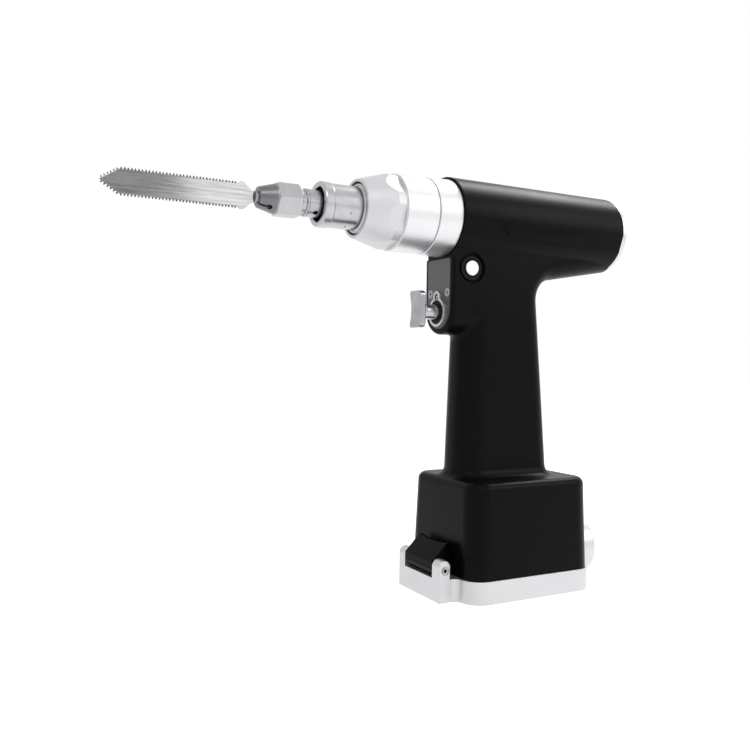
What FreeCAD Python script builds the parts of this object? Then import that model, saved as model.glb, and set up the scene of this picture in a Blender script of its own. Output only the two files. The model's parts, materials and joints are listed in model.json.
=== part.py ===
import FreeCAD, Part
import math
import os

import Sketcher

# Surgical reciprocating saw, in millimetres.
# +X runs forward to the blade's tip, +Y is the tool's left side, +Z is up.
# The origin is the centre of the battery lid's underside, the face that the tool stands on.

Vector = FreeCAD.Vector
document = FreeCAD.newDocument("surgical_saw")
sheet = document.addObject("Spreadsheet::Sheet", "Sizes")
nodes = {}


class Size:
    """A length or an angle: the expression that drives it and its present value."""

    def __init__(self, text, value):
        self.text = text
        self.value = float(value)

    def __add__(self, other):
        other = as_size(other)
        return Size(f"({self.text} + {other.text})", self.value + other.value)

    def __sub__(self, other):
        other = as_size(other)
        return Size(f"({self.text} - {other.text})", self.value - other.value)

    def __mul__(self, other):
        other = as_size(other)
        return Size(f"({self.text} * {other.text})", self.value * other.value)

    def __truediv__(self, other):
        other = as_size(other)
        return Size(f"({self.text} / {other.text})", self.value / other.value)

    def __neg__(self):
        return Size(f"(0 - {self.text})", -self.value)


def as_size(number):
    return number if isinstance(number, Size) else Size(repr(float(number)), number)


def size(alias, number, note):
    """Write one driving dimension to the sheet and return it."""
    row = size.row = size.row + 1
    sheet.set(f"A{row}", alias)
    sheet.set(f"B{row}", str(number))
    sheet.set(f"C{row}", note)
    sheet.setAlias(f"B{row}", alias)
    return Size(f"Sizes.{alias}", number)


size.row = 0

# Barrel and casing
axis_height = size("axis_height", 202.7, "height of the barrel's axis above the floor")
barrel_radius = size("barrel_radius", 22.2, "outside radius of the barrel")
barrel_bore = size("barrel_bore", 18.4, "bore radius of the barrel")
barrel_front = size("barrel_front", 35.0, "front rim of the barrel")
barrel_rear = size("barrel_rear", -76.0, "rear rim of the barrel")
grip_half_width = size("grip_half_width", 14.0, "half the width of grip and web")
grip_front_foot = size("grip_front_foot", 28.8, "grip's front line at the foot of its sketch")
grip_front_head = size("grip_front_head", 23.8, "grip's front line inside the barrel")
grip_rear_foot = size("grip_rear_foot", -33.9, "grip's rear line at the foot of its sketch")
grip_rear_head = size("grip_rear_head", -22.7, "grip's rear line where the web starts")
grip_foot_depth = size("grip_foot_depth", 10.5, "foot of the grip's side view below the box's top")
grip_head_drop = size("grip_head_drop", 12.7, "head of the grip's side view below the barrel's axis")
web_drop = size("web_drop", 31.4, "underside of the web at the grip, below the barrel's axis")
web_corner_round = size("web_corner_round", 12.5, "radius between grip and web, seen from the side")
grip_front_round = size("grip_front_round", 13.0, "rounding of the grip's front")
grip_rear_round = size("grip_rear_round", 10.0, "rounding of the grip's rear and the web")
grip_foot_round = size("grip_foot_round", 5.5, "fillet between grip and battery box")
facet_angle = size("facet_angle", 19.3, "how far below level the flat on the barrel's side faces")
room_foot_wall = size("room_foot_wall", 12.0, "casing before and behind the grip's room at its foot")
room_front_wall = size("room_front_wall", 10.0, "casing in front of the grip's room at its head")
room_rear_wall = size("room_rear_wall", 9.0, "casing behind the grip's room at its head")
room_side_wall = size("room_side_wall", 3.2, "casing beside the grip's room")
room_foot_rise = size("room_foot_rise", 20.0, "foot of the grip's room above the box's rim")
room_head_drop = size("room_head_drop", 7.0, "head of the grip's room below the web's underside")
wire_hole_radius = size("wire_hole_radius", 4.0, "wire passage from the grip to the barrel")
wire_hole_back = size("wire_hole_back", 29.0, "wire passage behind the grip's front line")
facet_depth = size("facet_depth", 0.58, "depth of that flat below the barrel's surface")
tongue_front = size("tongue_front", 15.7, "front end of the raised tongue on the barrel's side")
tongue_rear = size("tongue_rear", -51.6, "rear end of the raised tongue")
tongue_drop = size("tongue_drop", 9.3, "tongue's lower edge below the barrel's axis")
tongue_slant_front = size("tongue_slant_front", 10.1, "length of the tongue's front slant")
tongue_slant_rear = size("tongue_slant_rear", 7.7, "length of the tongue's rear slant")

# Trigger housing, the lobe in front of the grip
lobe_front = size("lobe_front", 36.6, "front face of the trigger housing")
lobe_drop = size("lobe_drop", 48.7, "centre of the housing's round bottom below the barrel's axis")
lobe_edge_round = size("lobe_edge_round", 1.6, "rounding of the housing's front edge")
lobe_under_round = size("lobe_under_round", 4.0, "fillet under the housing")
lobe_top_drop = size("lobe_top_drop", 21.6, "top of the housing's front face below the barrel's axis")

# Battery box and lid
lid_gap = size("lid_gap", 0.2, "gap between the lid's rim and the box")
box_height = size("box_height", 50.0, "height of the battery box")
box_front = size("box_front", 34.3, "front of the box at its rim")
box_rear = size("box_rear", -46.9, "rear of the box at its rim")
box_half_width = size("box_half_width", 33.1, "half the width of the box at its rim")
box_draft = size("box_draft", 1.7, "draft of the box walls")
box_corner_round = size("box_corner_round", 10.5, "upright corners of the box")
box_top_round = size("box_top_round", 4.0, "top edge of the box")
box_wall = size("box_wall", 4.5, "wall of the box at its rim")
box_roof = size("box_roof", 5.0, "thickness of the box's top")
lid_front_reach = size("lid_front_reach", 12.7, "lid's front face in front of the box")
lid_overhang = size("lid_overhang", 0.8, "lid beyond the box at the rear and the sides")
lid_height = size("lid_height", 12.2, "height of the lid's rim")
lid_rear_round = size("lid_rear_round", 10.8, "rear corners of the lid")
lid_shoulder_back = size("lid_shoulder_back", 23.2, "start of the lid's narrowing behind its front face")
lid_shoulder_round = size("lid_shoulder_round", 12.0, "convex arc of the lid's shoulder")
lid_shoulder_turn = size("lid_shoulder_turn", 80.0, "turn of the shoulder's arcs")
lid_nose_inset = size("lid_nose_inset", 13.1, "lid's front narrower than the lid on each side")
lid_edge_round = size("lid_edge_round", 0.9, "rounding of the lid's lower and front edges")
lid_floor = size("lid_floor", 3.0, "thickness of the lid's floor")
lid_wall = size("lid_wall", 6.0, "wall of the lid's tray")
groove_inset = size("groove_inset", 1.6, "seal's groove inside the outline of the box")
groove_width = size("groove_width", 2.0, "width of the seal's groove")
groove_depth = size("groove_depth", 1.0, "depth of the seal's groove")
ear_depth = size("ear_depth", 7.3, "ear's length along the tool")
ear_width = size("ear_width", 6.8, "width of an ear")
ear_rise = size("ear_rise", 9.9, "ears above the lid's rim")
latch_axis_back = size("latch_axis_back", 3.9, "latch pin behind the lid's front face")
latch_axis_rise = size("latch_axis_rise", 4.6, "latch pin above the lid's rim")
latch_pin_radius = size("latch_pin_radius", 1.65, "latch pin")
latch_pin_bore = size("latch_pin_bore", 1.0, "bore of the hollow latch pin")
ear_sink_radius = size("ear_sink_radius", 2.3, "sinking round the pin in the ears")
ear_sink_depth = size("ear_sink_depth", 0.7, "depth of that sinking")
lever_round = size("lever_round", 4.0, "lower round of the latch lever about its pin")
lever_ridge_back = size("lever_ridge_back", 10.2, "lever's ridge behind the lid's front face")
lever_ridge_rise = size("lever_ridge_rise", 12.9, "lever's ridge above the latch pin")
lever_brow_rise = size("lever_brow_rise", 3.6, "top of the lever's upright front above the latch pin")
lever_saddle_radius = size("lever_saddle_radius", 95.0, "radius of the finger hollow in the ridge")
lever_saddle_depth = size("lever_saddle_depth", 1.1, "depth of the finger hollow")
knob_radius = size("knob_radius", 17.2, "lid knob")
knob_rise = size("knob_rise", 5.1, "knob's centre above the box's rim")
knob_stand_off = size("knob_stand_off", 5.0, "front face of the knob behind the box")
knob_thickness = size("knob_thickness", 12.2, "thickness of the knob")
knob_rim_round = size("knob_rim_round", 1.4, "rounded rim of the knob")
knob_boss_radius = size("knob_boss_radius", 5.0, "boss behind the knob")
knob_shaft_radius = size("knob_shaft_radius", 3.0, "shaft of the knob")
cam_radius = size("cam_radius", 4.7, "cam on the knob's shaft")
cam_flat_reach = size("cam_flat_reach", 3.6, "flat of the cam from the shaft's axis")

# Nose, from the barrel forward
ring_length = size("ring_length", 14.1, "silver ring next to the barrel")
ring_rear_radius = size("ring_rear_radius", 20.9, "ring's radius at the barrel")
nose_radius = size("nose_radius", 20.0, "radius of the silver nose")
seam_width = size("seam_width", 0.5, "width of the seam grooves")
seam_depth = size("seam_depth", 0.8, "depth of the seam grooves")
nose_bore = size("nose_bore", 17.2, "bore radius of ring and gear housing")
spigot_length = size("spigot_length", 8.0, "ring's spigot inside the barrel")
housing_length = size("housing_length", 19.2, "gear housing")
collar_length = size("collar_length", 19.9, "front collar")
collar_radius = size("collar_radius", 19.3, "front collar at its rear")
collar_straight = size("collar_straight", 4.6, "cylindrical part of the collar")
collar_mouth_outer = size("collar_mouth_outer", 15.0, "collar's radius at its mouth")
collar_mouth_radius = size("collar_mouth_radius", 13.6, "mouth of the collar")
collar_mouth_depth = size("collar_mouth_depth", 8.0, "depth of the mouth")
collar_flats = size("collar_flats", 6, "number of flats round the collar")
collar_flat_reach = size("collar_flat_reach", 18.1, "distance of the flats from the axis")
collar_flat_turn = size("collar_flat_turn", -17.0, "how far the first flat is turned from level")
collar_spigot = size("collar_spigot", 5.8, "collar's spigot inside the gear housing")
sleeve_radius = size("sleeve_radius", 11.0, "nose sleeve")
sleeve_bore = size("sleeve_bore", 8.7, "bore radius of the sleeve")
sleeve_reach = size("sleeve_reach", 21.2, "sleeve in front of the collar")
sleeve_flange = size("sleeve_flange", 12.9, "flange of the sleeve in the collar's mouth")
sleeve_flange_length = size("sleeve_flange_length", 7.5, "length of that flange")
sleeve_lip_radius = size("sleeve_lip_radius", 11.4, "lip at the front of the sleeve")
sleeve_lip_length = size("sleeve_lip_length", 5.4, "length of the lip")
dot_radius = size("dot_radius", 0.65, "blind hole in the sleeve")
dot_depth = size("dot_depth", 0.5, "depth of the blind holes")
dot_reach = size("dot_reach", 7.2, "blind holes in front of the collar")
side_dot_turn = size("side_dot_turn", 115.0, "blind hole in the side, turned from the top")
low_dot_turn = size("low_dot_turn", 162.0, "first blind hole underneath")
lowest_dot_turn = size("lowest_dot_turn", 180.0, "second blind hole underneath")
fit_gap = size("fit_gap", 0.05, "clearance between pieces that are fitted together")
running_gap = size("running_gap", 0.06, "clearance of running fits")

# Plunger and chuck
plunger_radius = size("plunger_radius", 6.85, "plunger")
shaft_reach = size("shaft_reach", 7.6, "plunger between sleeve and chuck")
cross_hole_radius = size("cross_hole_radius", 1.25, "cross hole in the plunger")
cross_hole_back = size("cross_hole_back", 5.1, "cross hole behind the plunger's shoulder")
key_angle = size("key_angle", -50.7, "angle of cross hole and slit from the left side")
neck_radius = size("neck_radius", 6.0, "neck between plunger and nut")
neck_length = size("neck_length", 2.5, "length of the neck")
thread_radius = size("thread_radius", 5.0, "threaded end of the plunger")
thread_length = size("thread_length", 6.5, "length of the threaded end in the nut")
nut_flats = size("nut_flats", 15.1, "across the flats of the chuck nut")
nut_hex_length = size("nut_hex_length", 12.5, "hexagonal part of the nut")
nut_cone_length = size("nut_cone_length", 8.7, "conical part of the nut")
nut_cone_rear = size("nut_cone_rear", 7.45, "cone's radius at the hexagon")
nut_cone_front = size("nut_cone_front", 5.1, "cone's radius at the tip")
nut_bore = size("nut_bore", 4.7, "room for the collet inside the nut")
slit_width = size("slit_width", 1.0, "slit in the cone")
slit_length = size("slit_length", 4.9, "length of the slit up to its round hole")
slit_hole_radius = size("slit_hole_radius", 1.4, "round hole at the end of the slit")
collet_radius = size("collet_radius", 3.05, "collet at the nut's tip")
collet_reach = size("collet_reach", 1.5, "collet in front of the nut")
collet_length = size("collet_length", 15.0, "collet")

# Blade
blade_thickness = size("blade_thickness", 0.9, "blade")
blade_reach = size("blade_reach", 71.0, "blade in front of the collet")
blade_tang_length = size("blade_tang_length", 12.0, "tang inside the collet")
blade_tang_half = size("blade_tang_half", 2.7, "half the width of the tang")
blade_corner_half = size("blade_corner_half", 6.5, "half the width at the rear corners")
blade_corner_reach = size("blade_corner_reach", 5.4, "rear corners in front of the collet")
blade_root_half = size("blade_root_half", 5.35, "half the width at the teeth's roots")
tooth_height = size("tooth_height", 1.1, "height of a tooth")
tooth_pitch = size("tooth_pitch", 1.53, "pitch of the teeth")
tooth_start = size("tooth_start", 8.5, "first tooth in front of the collet")
tip_length = size("tip_length", 8.5, "pointed end of the blade")

# Motor and drive
motor_front = size("motor_front", 24.0, "front face of the motor")
motor_length = size("motor_length", 74.0, "motor can")
motor_radius = size("motor_radius", 18.2, "motor can")
motor_wall = size("motor_wall", 1.6, "wall of the can")
bearing_radius = size("bearing_radius", 6.0, "motor bearings")
bearing_width = size("bearing_width", 4.0, "motor bearings")
motor_shaft_radius = size("motor_shaft_radius", 2.5, "motor shaft")
stator_bore = size("stator_bore", 10.5, "bore of the stator")
stator_length = size("stator_length", 45.0, "stator")
magnet_radius = size("magnet_radius", 9.8, "rotor magnet")
coil_count = size("coil_count", 6, "coils of the stator")
coil_radius = size("coil_radius", 2.0, "coils of the stator")
crank_setback = size("crank_setback", 11.0, "crank's axis in front of the barrel")
stroke = size("stroke", 4.0, "travel of the plunger")
pinion_teeth = size("pinion_teeth", 10, "teeth of the pinion")
gear_teeth = size("gear_teeth", 25, "teeth of the face gear")
pinion_radius = size("pinion_radius", 4.4, "pitch radius of the pinion")
gear_face_inner = size("gear_face_inner", 10.0, "inner end of the face gear's teeth")
gear_face_outer = size("gear_face_outer", 12.2, "outer end of the face gear's teeth")
tooth_top = size("tooth_top", 0.75, "gear teeth above the pitch line")
tooth_root = size("tooth_root", 1.0, "gear teeth below the pitch line")
tooth_share = size("tooth_share", 0.36, "share of the pitch that a gear tooth fills")
gear_disc_thickness = size("gear_disc_thickness", 2.7, "disc under the face gear's teeth")
axle_radius = size("axle_radius", 3.0, "axle of the crank")
axle_length = size("axle_length", 5.6, "axle below the disc")
axle_bearing_radius = size("axle_bearing_radius", 6.0, "bearing of the crank")
axle_bearing_width = size("axle_bearing_width", 3.5, "bearing of the crank")
crank_pin_radius = size("crank_pin_radius", 1.5, "crank pin")
roller_radius = size("roller_radius", 2.4, "roller on the crank pin")
yoke_play = size("yoke_play", 0.48, "roller's play in the yoke along the stroke")
yoke_half_length = size("yoke_half_length", 5.2, "half the yoke's length")
yoke_half_width = size("yoke_half_width", 7.2, "half the yoke's width")
yoke_low = size("yoke_low", -3.0, "underside of the yoke from the axis")
yoke_high = size("yoke_high", 3.2, "top of the yoke from the axis")
tang_radius = size("tang_radius", 2.8, "thin rear end of the plunger")
frame_rear_play = size("frame_rear_play", 1.1, "room between crank gear and gear frame")

# Trigger and side button
trigger_drop = size("trigger_drop", 50.7, "trigger rod's axis below the barrel's axis")
trigger_rod_radius = size("trigger_rod_radius", 4.1, "trigger rod")
trigger_pad_rear = size("trigger_pad_rear", 47.9, "rear face of the finger pad")
trigger_pad_thickness = size("trigger_pad_thickness", 4.0, "finger pad")
trigger_pad_half_width = size("trigger_pad_half_width", 5.6, "half the width of the pad")
trigger_pad_height = size("trigger_pad_height", 19.6, "height of the finger pad")
trigger_pad_lift = size("trigger_pad_lift", 1.1, "pad's centre above the rod")
trigger_pad_hollow = size("trigger_pad_hollow", 34.0, "radius of the pad's hollow front")
trigger_pad_dip = size("trigger_pad_dip", 1.5, "depth of the pad's hollow front")
plate_half_width = size("plate_half_width", 10.9, "half the width of the trigger plate")
plate_thickness = size("plate_thickness", 1.2, "trigger plate")
plate_recess = size("plate_recess", 1.0, "recess that holds the plate")
plate_corner_round = size("plate_corner_round", 1.6, "upper corners of the trigger plate")
plate_top_drop = size("plate_top_drop", 22.2, "top edge of the trigger plate below the barrel's axis")
plate_screw_spread = size("plate_screw_spread", 8.3, "screws either side of the middle")
plate_screw_rise = size("plate_screw_rise", 10.3, "the two screws above the trigger rod's axis")
screw_radius = size("screw_radius", 1.25, "shank of the plate screws")
screw_head_radius = size("screw_head_radius", 2.35, "head of the plate screws")
screw_length = size("screw_length", 6.0, "plate screws under the head")
boss_height = size("boss_height", 1.4, "keyhole boss in front of the plate")
boss_radius = size("boss_radius", 7.8, "large lobe of the keyhole boss")
boss_rim = size("boss_rim", 1.3, "rim round the recess of the boss")
boss_recess_depth = size("boss_recess_depth", 1.2, "depth of that recess")
pin_lobe_radius = size("pin_lobe_radius", 3.1, "small lobe of the keyhole boss")
guide_pin_rise = size("guide_pin_rise", 8.3, "guide pin above the trigger rod's axis")
guide_pin_radius = size("guide_pin_radius", 0.9, "guide pin")
bush_radius = size("bush_radius", 5.5, "outside of the trigger bush")
bush_length = size("bush_length", 14.0, "trigger bush")
trigger_spring_room = size("trigger_spring_room", 11.0, "length of the trigger spring")
rod_flange_length = size("rod_flange_length", 2.0, "flange of the trigger rod behind its bush")
rod_flange_gap = size("rod_flange_gap", 0.1, "gap between that flange and the bush")
button_x = size("button_x", 24.6, "side button along the tool")
button_drop = size("button_drop", 27.2, "side button below the barrel's axis")
button_radius = size("button_radius", 4.1, "side button")
button_proud = size("button_proud", 0.3, "button in front of the casing's side")
button_length = size("button_length", 7.0, "side button")
bushing_radius = size("bushing_radius", 6.7, "bushing of the side button")
bushing_depth = size("bushing_depth", 12.4, "bushing into the casing")
bushing_sink = size("bushing_sink", 0.5, "bushing's face below the casing's side")
spotface_radius = size("spotface_radius", 8.1, "spot face round the bushing")
spotface_depth = size("spotface_depth", 1.8, "depth of the spot face")
spotface_lip = size("spotface_lip", 0.5, "bevel round the spot face")
spring_wire = size("spring_wire", 0.35, "wire radius of the springs")

# Battery and boards
battery_gap = size("battery_gap", 1.2, "room round the battery in its box")
battery_wall = size("battery_wall", 1.6, "wall of the battery case")
battery_corner_round = size("battery_corner_round", 8.0, "upright corners of the battery case")
battery_rear_gap = size("battery_rear_gap", 4.6, "room for the knob's cam behind the battery")
cushion_thickness = size("cushion_thickness", 2.55, "rubber cushion under the battery")
cell_radius = size("cell_radius", 9.1, "battery cell")
cell_spread = size("cell_spread", 12.0, "cells either side of the middle")
board_lift = size("board_lift", 8.0, "control board above the top of the box")
board_top_drop = size("board_top_drop", 14.0, "top of the board below the trigger rod's axis")
chip_pitch = size("chip_pitch", 15.0, "pitch of the parts on the board")
chip_length = size("chip_length", 10.0, "height of a part on the board")

# Places that follow from the sizes above
grip_sketch_head = axis_height - grip_head_drop
web_start_height = axis_height - web_drop
lobe_centre_height = axis_height - lobe_drop
lobe_top = axis_height - lobe_top_drop
plate_top = axis_height - plate_top_drop
trigger_height = axis_height - trigger_drop
plate_screw_height = trigger_height + plate_screw_rise
guide_pin_height = trigger_height + guide_pin_rise
button_height = axis_height - button_drop
box_bottom = lid_height + lid_gap
box_top = box_bottom + box_height
grip_sketch_foot = box_top - grip_foot_depth
lid_front = box_front + lid_front_reach
lid_rear = box_rear - lid_overhang
lid_half_width = box_half_width + lid_overhang
lid_shoulder = lid_front - lid_shoulder_back
lid_nose_half_width = lid_half_width - lid_nose_inset
ear_inside = lid_nose_half_width - ear_width
ear_top = lid_height + ear_rise
latch_axis_height = lid_height + latch_axis_rise
lever_ridge_height = latch_axis_height + lever_ridge_rise
lever_brow_height = latch_axis_height + lever_brow_rise
knob_height = box_bottom + knob_rise
knob_front = box_rear - knob_stand_off
bush_rear = lobe_front - plate_recess - fit_gap - bush_length
flange_rear = bush_rear - rod_flange_gap - rod_flange_length
spring_rear = flange_rear - trigger_spring_room
ring_front = barrel_front + ring_length
housing_front = ring_front + housing_length
collar_front = housing_front + collar_length
mouth_floor = collar_front - collar_mouth_depth
sleeve_front = collar_front + sleeve_reach
plunger_shoulder = sleeve_front + shaft_reach
nut_rear = plunger_shoulder + neck_length
cone_rear = nut_rear + nut_hex_length
nut_front = cone_rear + nut_cone_length
collet_front = nut_front + collet_reach
blade_tip = collet_front + blade_reach
crank_x = barrel_front + crank_setback
yoke_x = crank_x + stroke / 2
latch_x = lid_front - latch_axis_back
pinion_rear = crank_x - gear_face_outer - 0.3
gear_pitch_z = axis_height - pinion_radius
disc_top = gear_pitch_z - tooth_root
disc_bottom = disc_top - gear_disc_thickness
plate_front = lobe_front - plate_recess + plate_thickness


def keep(name, piece):
    """Register a finished sub-part under the name of its file."""
    piece.Label = name
    nodes[name] = piece
    return piece


def bind(piece, target, amount):
    piece.setExpression(target, as_size(amount).text)


def place(piece, x=0, y=0, z=0):
    for axis, amount in zip("xyz", (x, y, z)):
        bind(piece, f"Placement.Base.{axis}", amount)
    return piece


def block(name, x, y, z):
    """A box between two limits on each axis."""
    piece = document.addObject("Part::Box", name)
    for length, (low, high) in zip(("Length", "Width", "Height"), (x, y, z)):
        bind(piece, length, as_size(high) - low)
    return place(piece, x[0], y[0], z[0])


def bar(name, axis, start, end, radius, x=0, y=0, z=0):
    """A round bar along one axis, through the point given by the other two."""
    piece = document.addObject("Part::Cylinder", name)
    turns = {"X": (Vector(0, 1, 0), 90), "Y": (Vector(1, 0, 0), -90), "Z": (Vector(0, 0, 1), 0)}
    piece.Placement = FreeCAD.Placement(Vector(), FreeCAD.Rotation(*turns[axis]))
    bind(piece, "Radius", radius)
    bind(piece, "Height", as_size(end) - start)
    foot = {"X": (start, y, z), "Y": (x, start, z), "Z": (x, y, start)}[axis]
    return place(piece, *foot)


def tube(name, axis, start, end, outer, inner, **where):
    whole = bar(name + "_outside", axis, start, end, outer, **where)
    hole = bar(name + "_inside", axis, as_size(start) - 1, as_size(end) + 1, inner, **where)
    return cut(name, whole, hole)


def cut(name, base, *tools):
    piece = document.addObject("Part::Cut", name)
    piece.Base = base
    piece.Tool = tools[0] if len(tools) == 1 else join(name + "_tools", *tools)
    piece.Refine = True
    return piece


def join(name, *pieces):
    piece = document.addObject("Part::MultiFuse", name)
    piece.Shapes = list(pieces)
    piece.Refine = True
    return piece


def common(name, *pieces):
    piece = document.addObject("Part::MultiCommon", name)
    piece.Shapes = list(pieces)
    return piece


def group(name, *pieces):
    """Separate solids that share one sub-part."""
    piece = document.addObject("Part::Compound", name)
    piece.Links = list(pieces)
    return piece


def turned_copy(name, piece, axis, angle, x=0, y=0, z=0):
    """A copy of a piece, turned by an angle about a line through a point."""
    copy = document.addObject("Part::Feature", name)
    document.recompute()
    copy.Shape = piece.Shape.copy()
    pivot = Vector(as_size(x).value, as_size(y).value, as_size(z).value)
    turn = FreeCAD.Placement(Vector(), FreeCAD.Rotation(axis, as_size(angle).value), pivot)
    copy.Placement = turn.multiply(piece.Placement)
    return copy


def new_body(name):
    return document.addObject("PartDesign::Body", name)


def origin_plane(body, role):
    return next(item for item in body.Origin.OriginFeatures if item.Role == role)


def polygon(body, name, role, corners, lift=0):
    """A closed outline on one of the body's planes, each corner tied to its two sizes."""
    sketch = body.newObject("Sketcher::SketchObject", name)
    sketch.AttachmentSupport = (origin_plane(body, role), [""])
    sketch.MapMode = "FlatFace"
    bind(sketch, "AttachmentOffset.Base.z", lift)
    corners = [(as_size(across), as_size(up)) for across, up in corners]
    points = [Vector(across.value, up.value, 0) for across, up in corners]
    for index, point in enumerate(points):
        sketch.addGeometry(Part.LineSegment(point, points[(index + 1) % len(points)]), False)
    for index, (across, up) in enumerate(corners):
        follower = (index + 1) % len(corners)
        sketch.addConstraint(Sketcher.Constraint("Coincident", index, 2, follower, 1))
        tie_corner(sketch, index, across, "DistanceX", -2)
        tie_corner(sketch, index, up, "DistanceY", -1)
    return sketch


def tie_corner(sketch, index, amount, kind, zero_line):
    """Hold one coordinate of a corner: on the axis where it is zero, else at its size."""
    if amount.text == "0.0":
        sketch.addConstraint(Sketcher.Constraint("PointOnObject", index, 1, zero_line))
        return
    number = sketch.addConstraint(Sketcher.Constraint(kind, -1, 1, index, 1, amount.value))
    sketch.setExpression(f"Constraints[{number}]", amount.text)


def turned(name, axis, section, x=0, y=0, z=0):
    """A turned piece. The section is (along, radius) for axis X and (radius, along) for Y and Z."""
    body = new_body(name)
    places = {"X": ("XZ_Plane", "H_Axis"), "Y": ("XY_Plane", "V_Axis"), "Z": ("XZ_Plane", "V_Axis")}
    role, line = places[axis]
    sketch = polygon(body, name + "_section", role, section)
    solid = body.newObject("PartDesign::Revolution", name + "_turning")
    solid.Profile = sketch
    solid.ReferenceAxis = (sketch, [line])
    solid.Angle = 360
    body.Tip = solid
    return place(body, x, y, z)


def raised(body, name, sketch, height, both_ways=False, draft=None):
    """A pad on a sketch, to one side or evenly to both."""
    pad = body.newObject("PartDesign::Pad", name)
    pad.Profile = sketch
    bind(pad, "Length", height)
    if both_ways:
        pad.SideType = "Symmetric"
    if draft is not None:
        bind(pad, "TaperAngle", draft)
    body.Tip = pad
    document.recompute()
    return pad


def prism(name, role, corners, height, both_ways=False, lift=0, x=0, y=0, z=0):
    """A straight piece with a polygon for its section."""
    body = new_body(name)
    raised(body, name + "_pad", polygon(body, name + "_outline", role, corners, lift), height, both_ways)
    return place(body, x, y, z)


def rounded_block(name, x, y, z, radius):
    """A block between limits with its upright edges rounded."""
    body = new_body(name)
    outline = polygon(body, name + "_outline", "XY_Plane", [
        (x[0], y[0]), (x[1], y[0]), (x[1], y[1]), (x[0], y[1])], z[0])
    pad = raised(body, name + "_pad", outline, as_size(z[1]) - z[0])
    half_height = (as_size(z[0]).value + as_size(z[1]).value) / 2
    rounded(body, pad, name + "_corners", radius, lambda point: near(point.z, half_height)
            and near(abs(point.y), y[1]) and (near(point.x, x[0]) or near(point.x, x[1])))
    return body


def middle(edge):
    return edge.valueAt((edge.FirstParameter + edge.LastParameter) / 2)


def rounded(body, base, name, radius, chosen):
    """A fillet on those edges of the base whose middle point passes the test."""
    fillet = body.newObject("PartDesign::Fillet", name)
    names = [f"Edge{i + 1}" for i, edge in enumerate(base.Shape.Edges) if chosen(middle(edge))]
    fillet.Base = (base, names)
    bind(fillet, "Radius", radius)
    body.Tip = fillet
    document.recompute()
    return fillet


def near(first, second, reach=0.05):
    return abs(first - as_size(second).value) < reach


def make_casing_form():
    """Outside of the casing: grip, web, battery box, trigger housing and barrel in one casting."""
    body = new_body("casing_form")
    web_slope_end = axis_height - barrel_radius
    side = polygon(body, "grip_side_view", "XZ_Plane", [
        (grip_front_foot, grip_sketch_foot), (grip_front_head, grip_sketch_head),
        (barrel_rear, grip_sketch_head), (barrel_rear, web_slope_end),
        (grip_rear_head, web_start_height), (grip_rear_foot, grip_sketch_foot)])
    form = raised(body, "grip_and_web", side, grip_half_width * 2, both_ways=True)
    side_y = grip_half_width.value
    form = rounded(body, form, "web_corner", web_corner_round, lambda point:
                   near(point.x, grip_rear_head, 0.5) and near(point.z, web_start_height, 0.5))
    form = rounded(body, form, "grip_front_edges", grip_front_round, lambda point:
                   near(abs(point.y), side_y) and point.x > grip_front_head.value - 1)
    form = rounded(body, form, "grip_rear_edges", grip_rear_round, lambda point:
                   near(abs(point.y), side_y) and point.x < 0 and point.z < web_slope_end.value
                   and point.z > grip_sketch_foot.value + 1 and point.x > barrel_rear.value + 1)
    rim = polygon(body, "box_rim", "XY_Plane", [
        (box_rear, -box_half_width), (box_front, -box_half_width),
        (box_front, box_half_width), (box_rear, box_half_width)], box_bottom)
    form = raised(body, "battery_box", rim, box_height, draft=-box_draft)
    half_height = (box_bottom + box_height / 2).value
    form = rounded(body, form, "box_corners", box_corner_round, lambda point:
                   abs(point.z - half_height) < 10 and abs(point.y) > side_y + 5)
    form = rounded(body, form, "box_top_edge", box_top_round, lambda point:
                   near(point.z, box_top) and (abs(point.y) > side_y + 5
                   or point.x > grip_front_foot.value + 2 or point.x < grip_rear_foot.value - 2))
    form = rounded(body, form, "grip_foot", grip_foot_round, lambda point:
                   near(point.z, box_top) and abs(point.y) < side_y + 0.1
                   and grip_rear_foot.value - 1 < point.x < grip_front_foot.value + 1)
    lobe = polygon(body, "lobe_section", "YZ_Plane", [
        (-grip_half_width, lobe_centre_height), (grip_half_width, lobe_centre_height),
        (grip_half_width, grip_sketch_head), (-grip_half_width, grip_sketch_head)])
    raised(body, "trigger_housing", lobe, lobe_front)
    added_bar(body, "trigger_housing_bottom", grip_half_width, lobe_front, lobe_centre_height, 0)
    form = added_bar(body, "barrel", barrel_radius, barrel_front - barrel_rear, axis_height,
                     barrel_rear)
    form = rounded(body, form, "lobe_front_edge", lobe_edge_round, lambda point:
                   near(point.x, lobe_front) and point.z < grip_sketch_head.value - 1)
    form = rounded(body, form, "lobe_under_edge", lobe_under_round, lambda point:
                   grip_front_head.value - 6 < point.x < grip_front_foot.value
                   and lobe_centre_height.value - grip_half_width.value - 1 < point.z
                   < lobe_centre_height.value - 5 and abs(point.y) < side_y - 1)
    return body


def added_bar(body, name, radius, length, height, start):
    """A round bar along X that joins the body's form."""
    piece = body.newObject("PartDesign::AdditiveCylinder", name)
    piece.AttachmentSupport = (origin_plane(body, "YZ_Plane"), [""])
    piece.MapMode = "FlatFace"
    bind(piece, "AttachmentOffset.Base.y", height)
    bind(piece, "AttachmentOffset.Base.z", start)
    bind(piece, "Radius", radius)
    bind(piece, "Height", length)
    body.Tip = piece
    document.recompute()
    return piece


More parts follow.
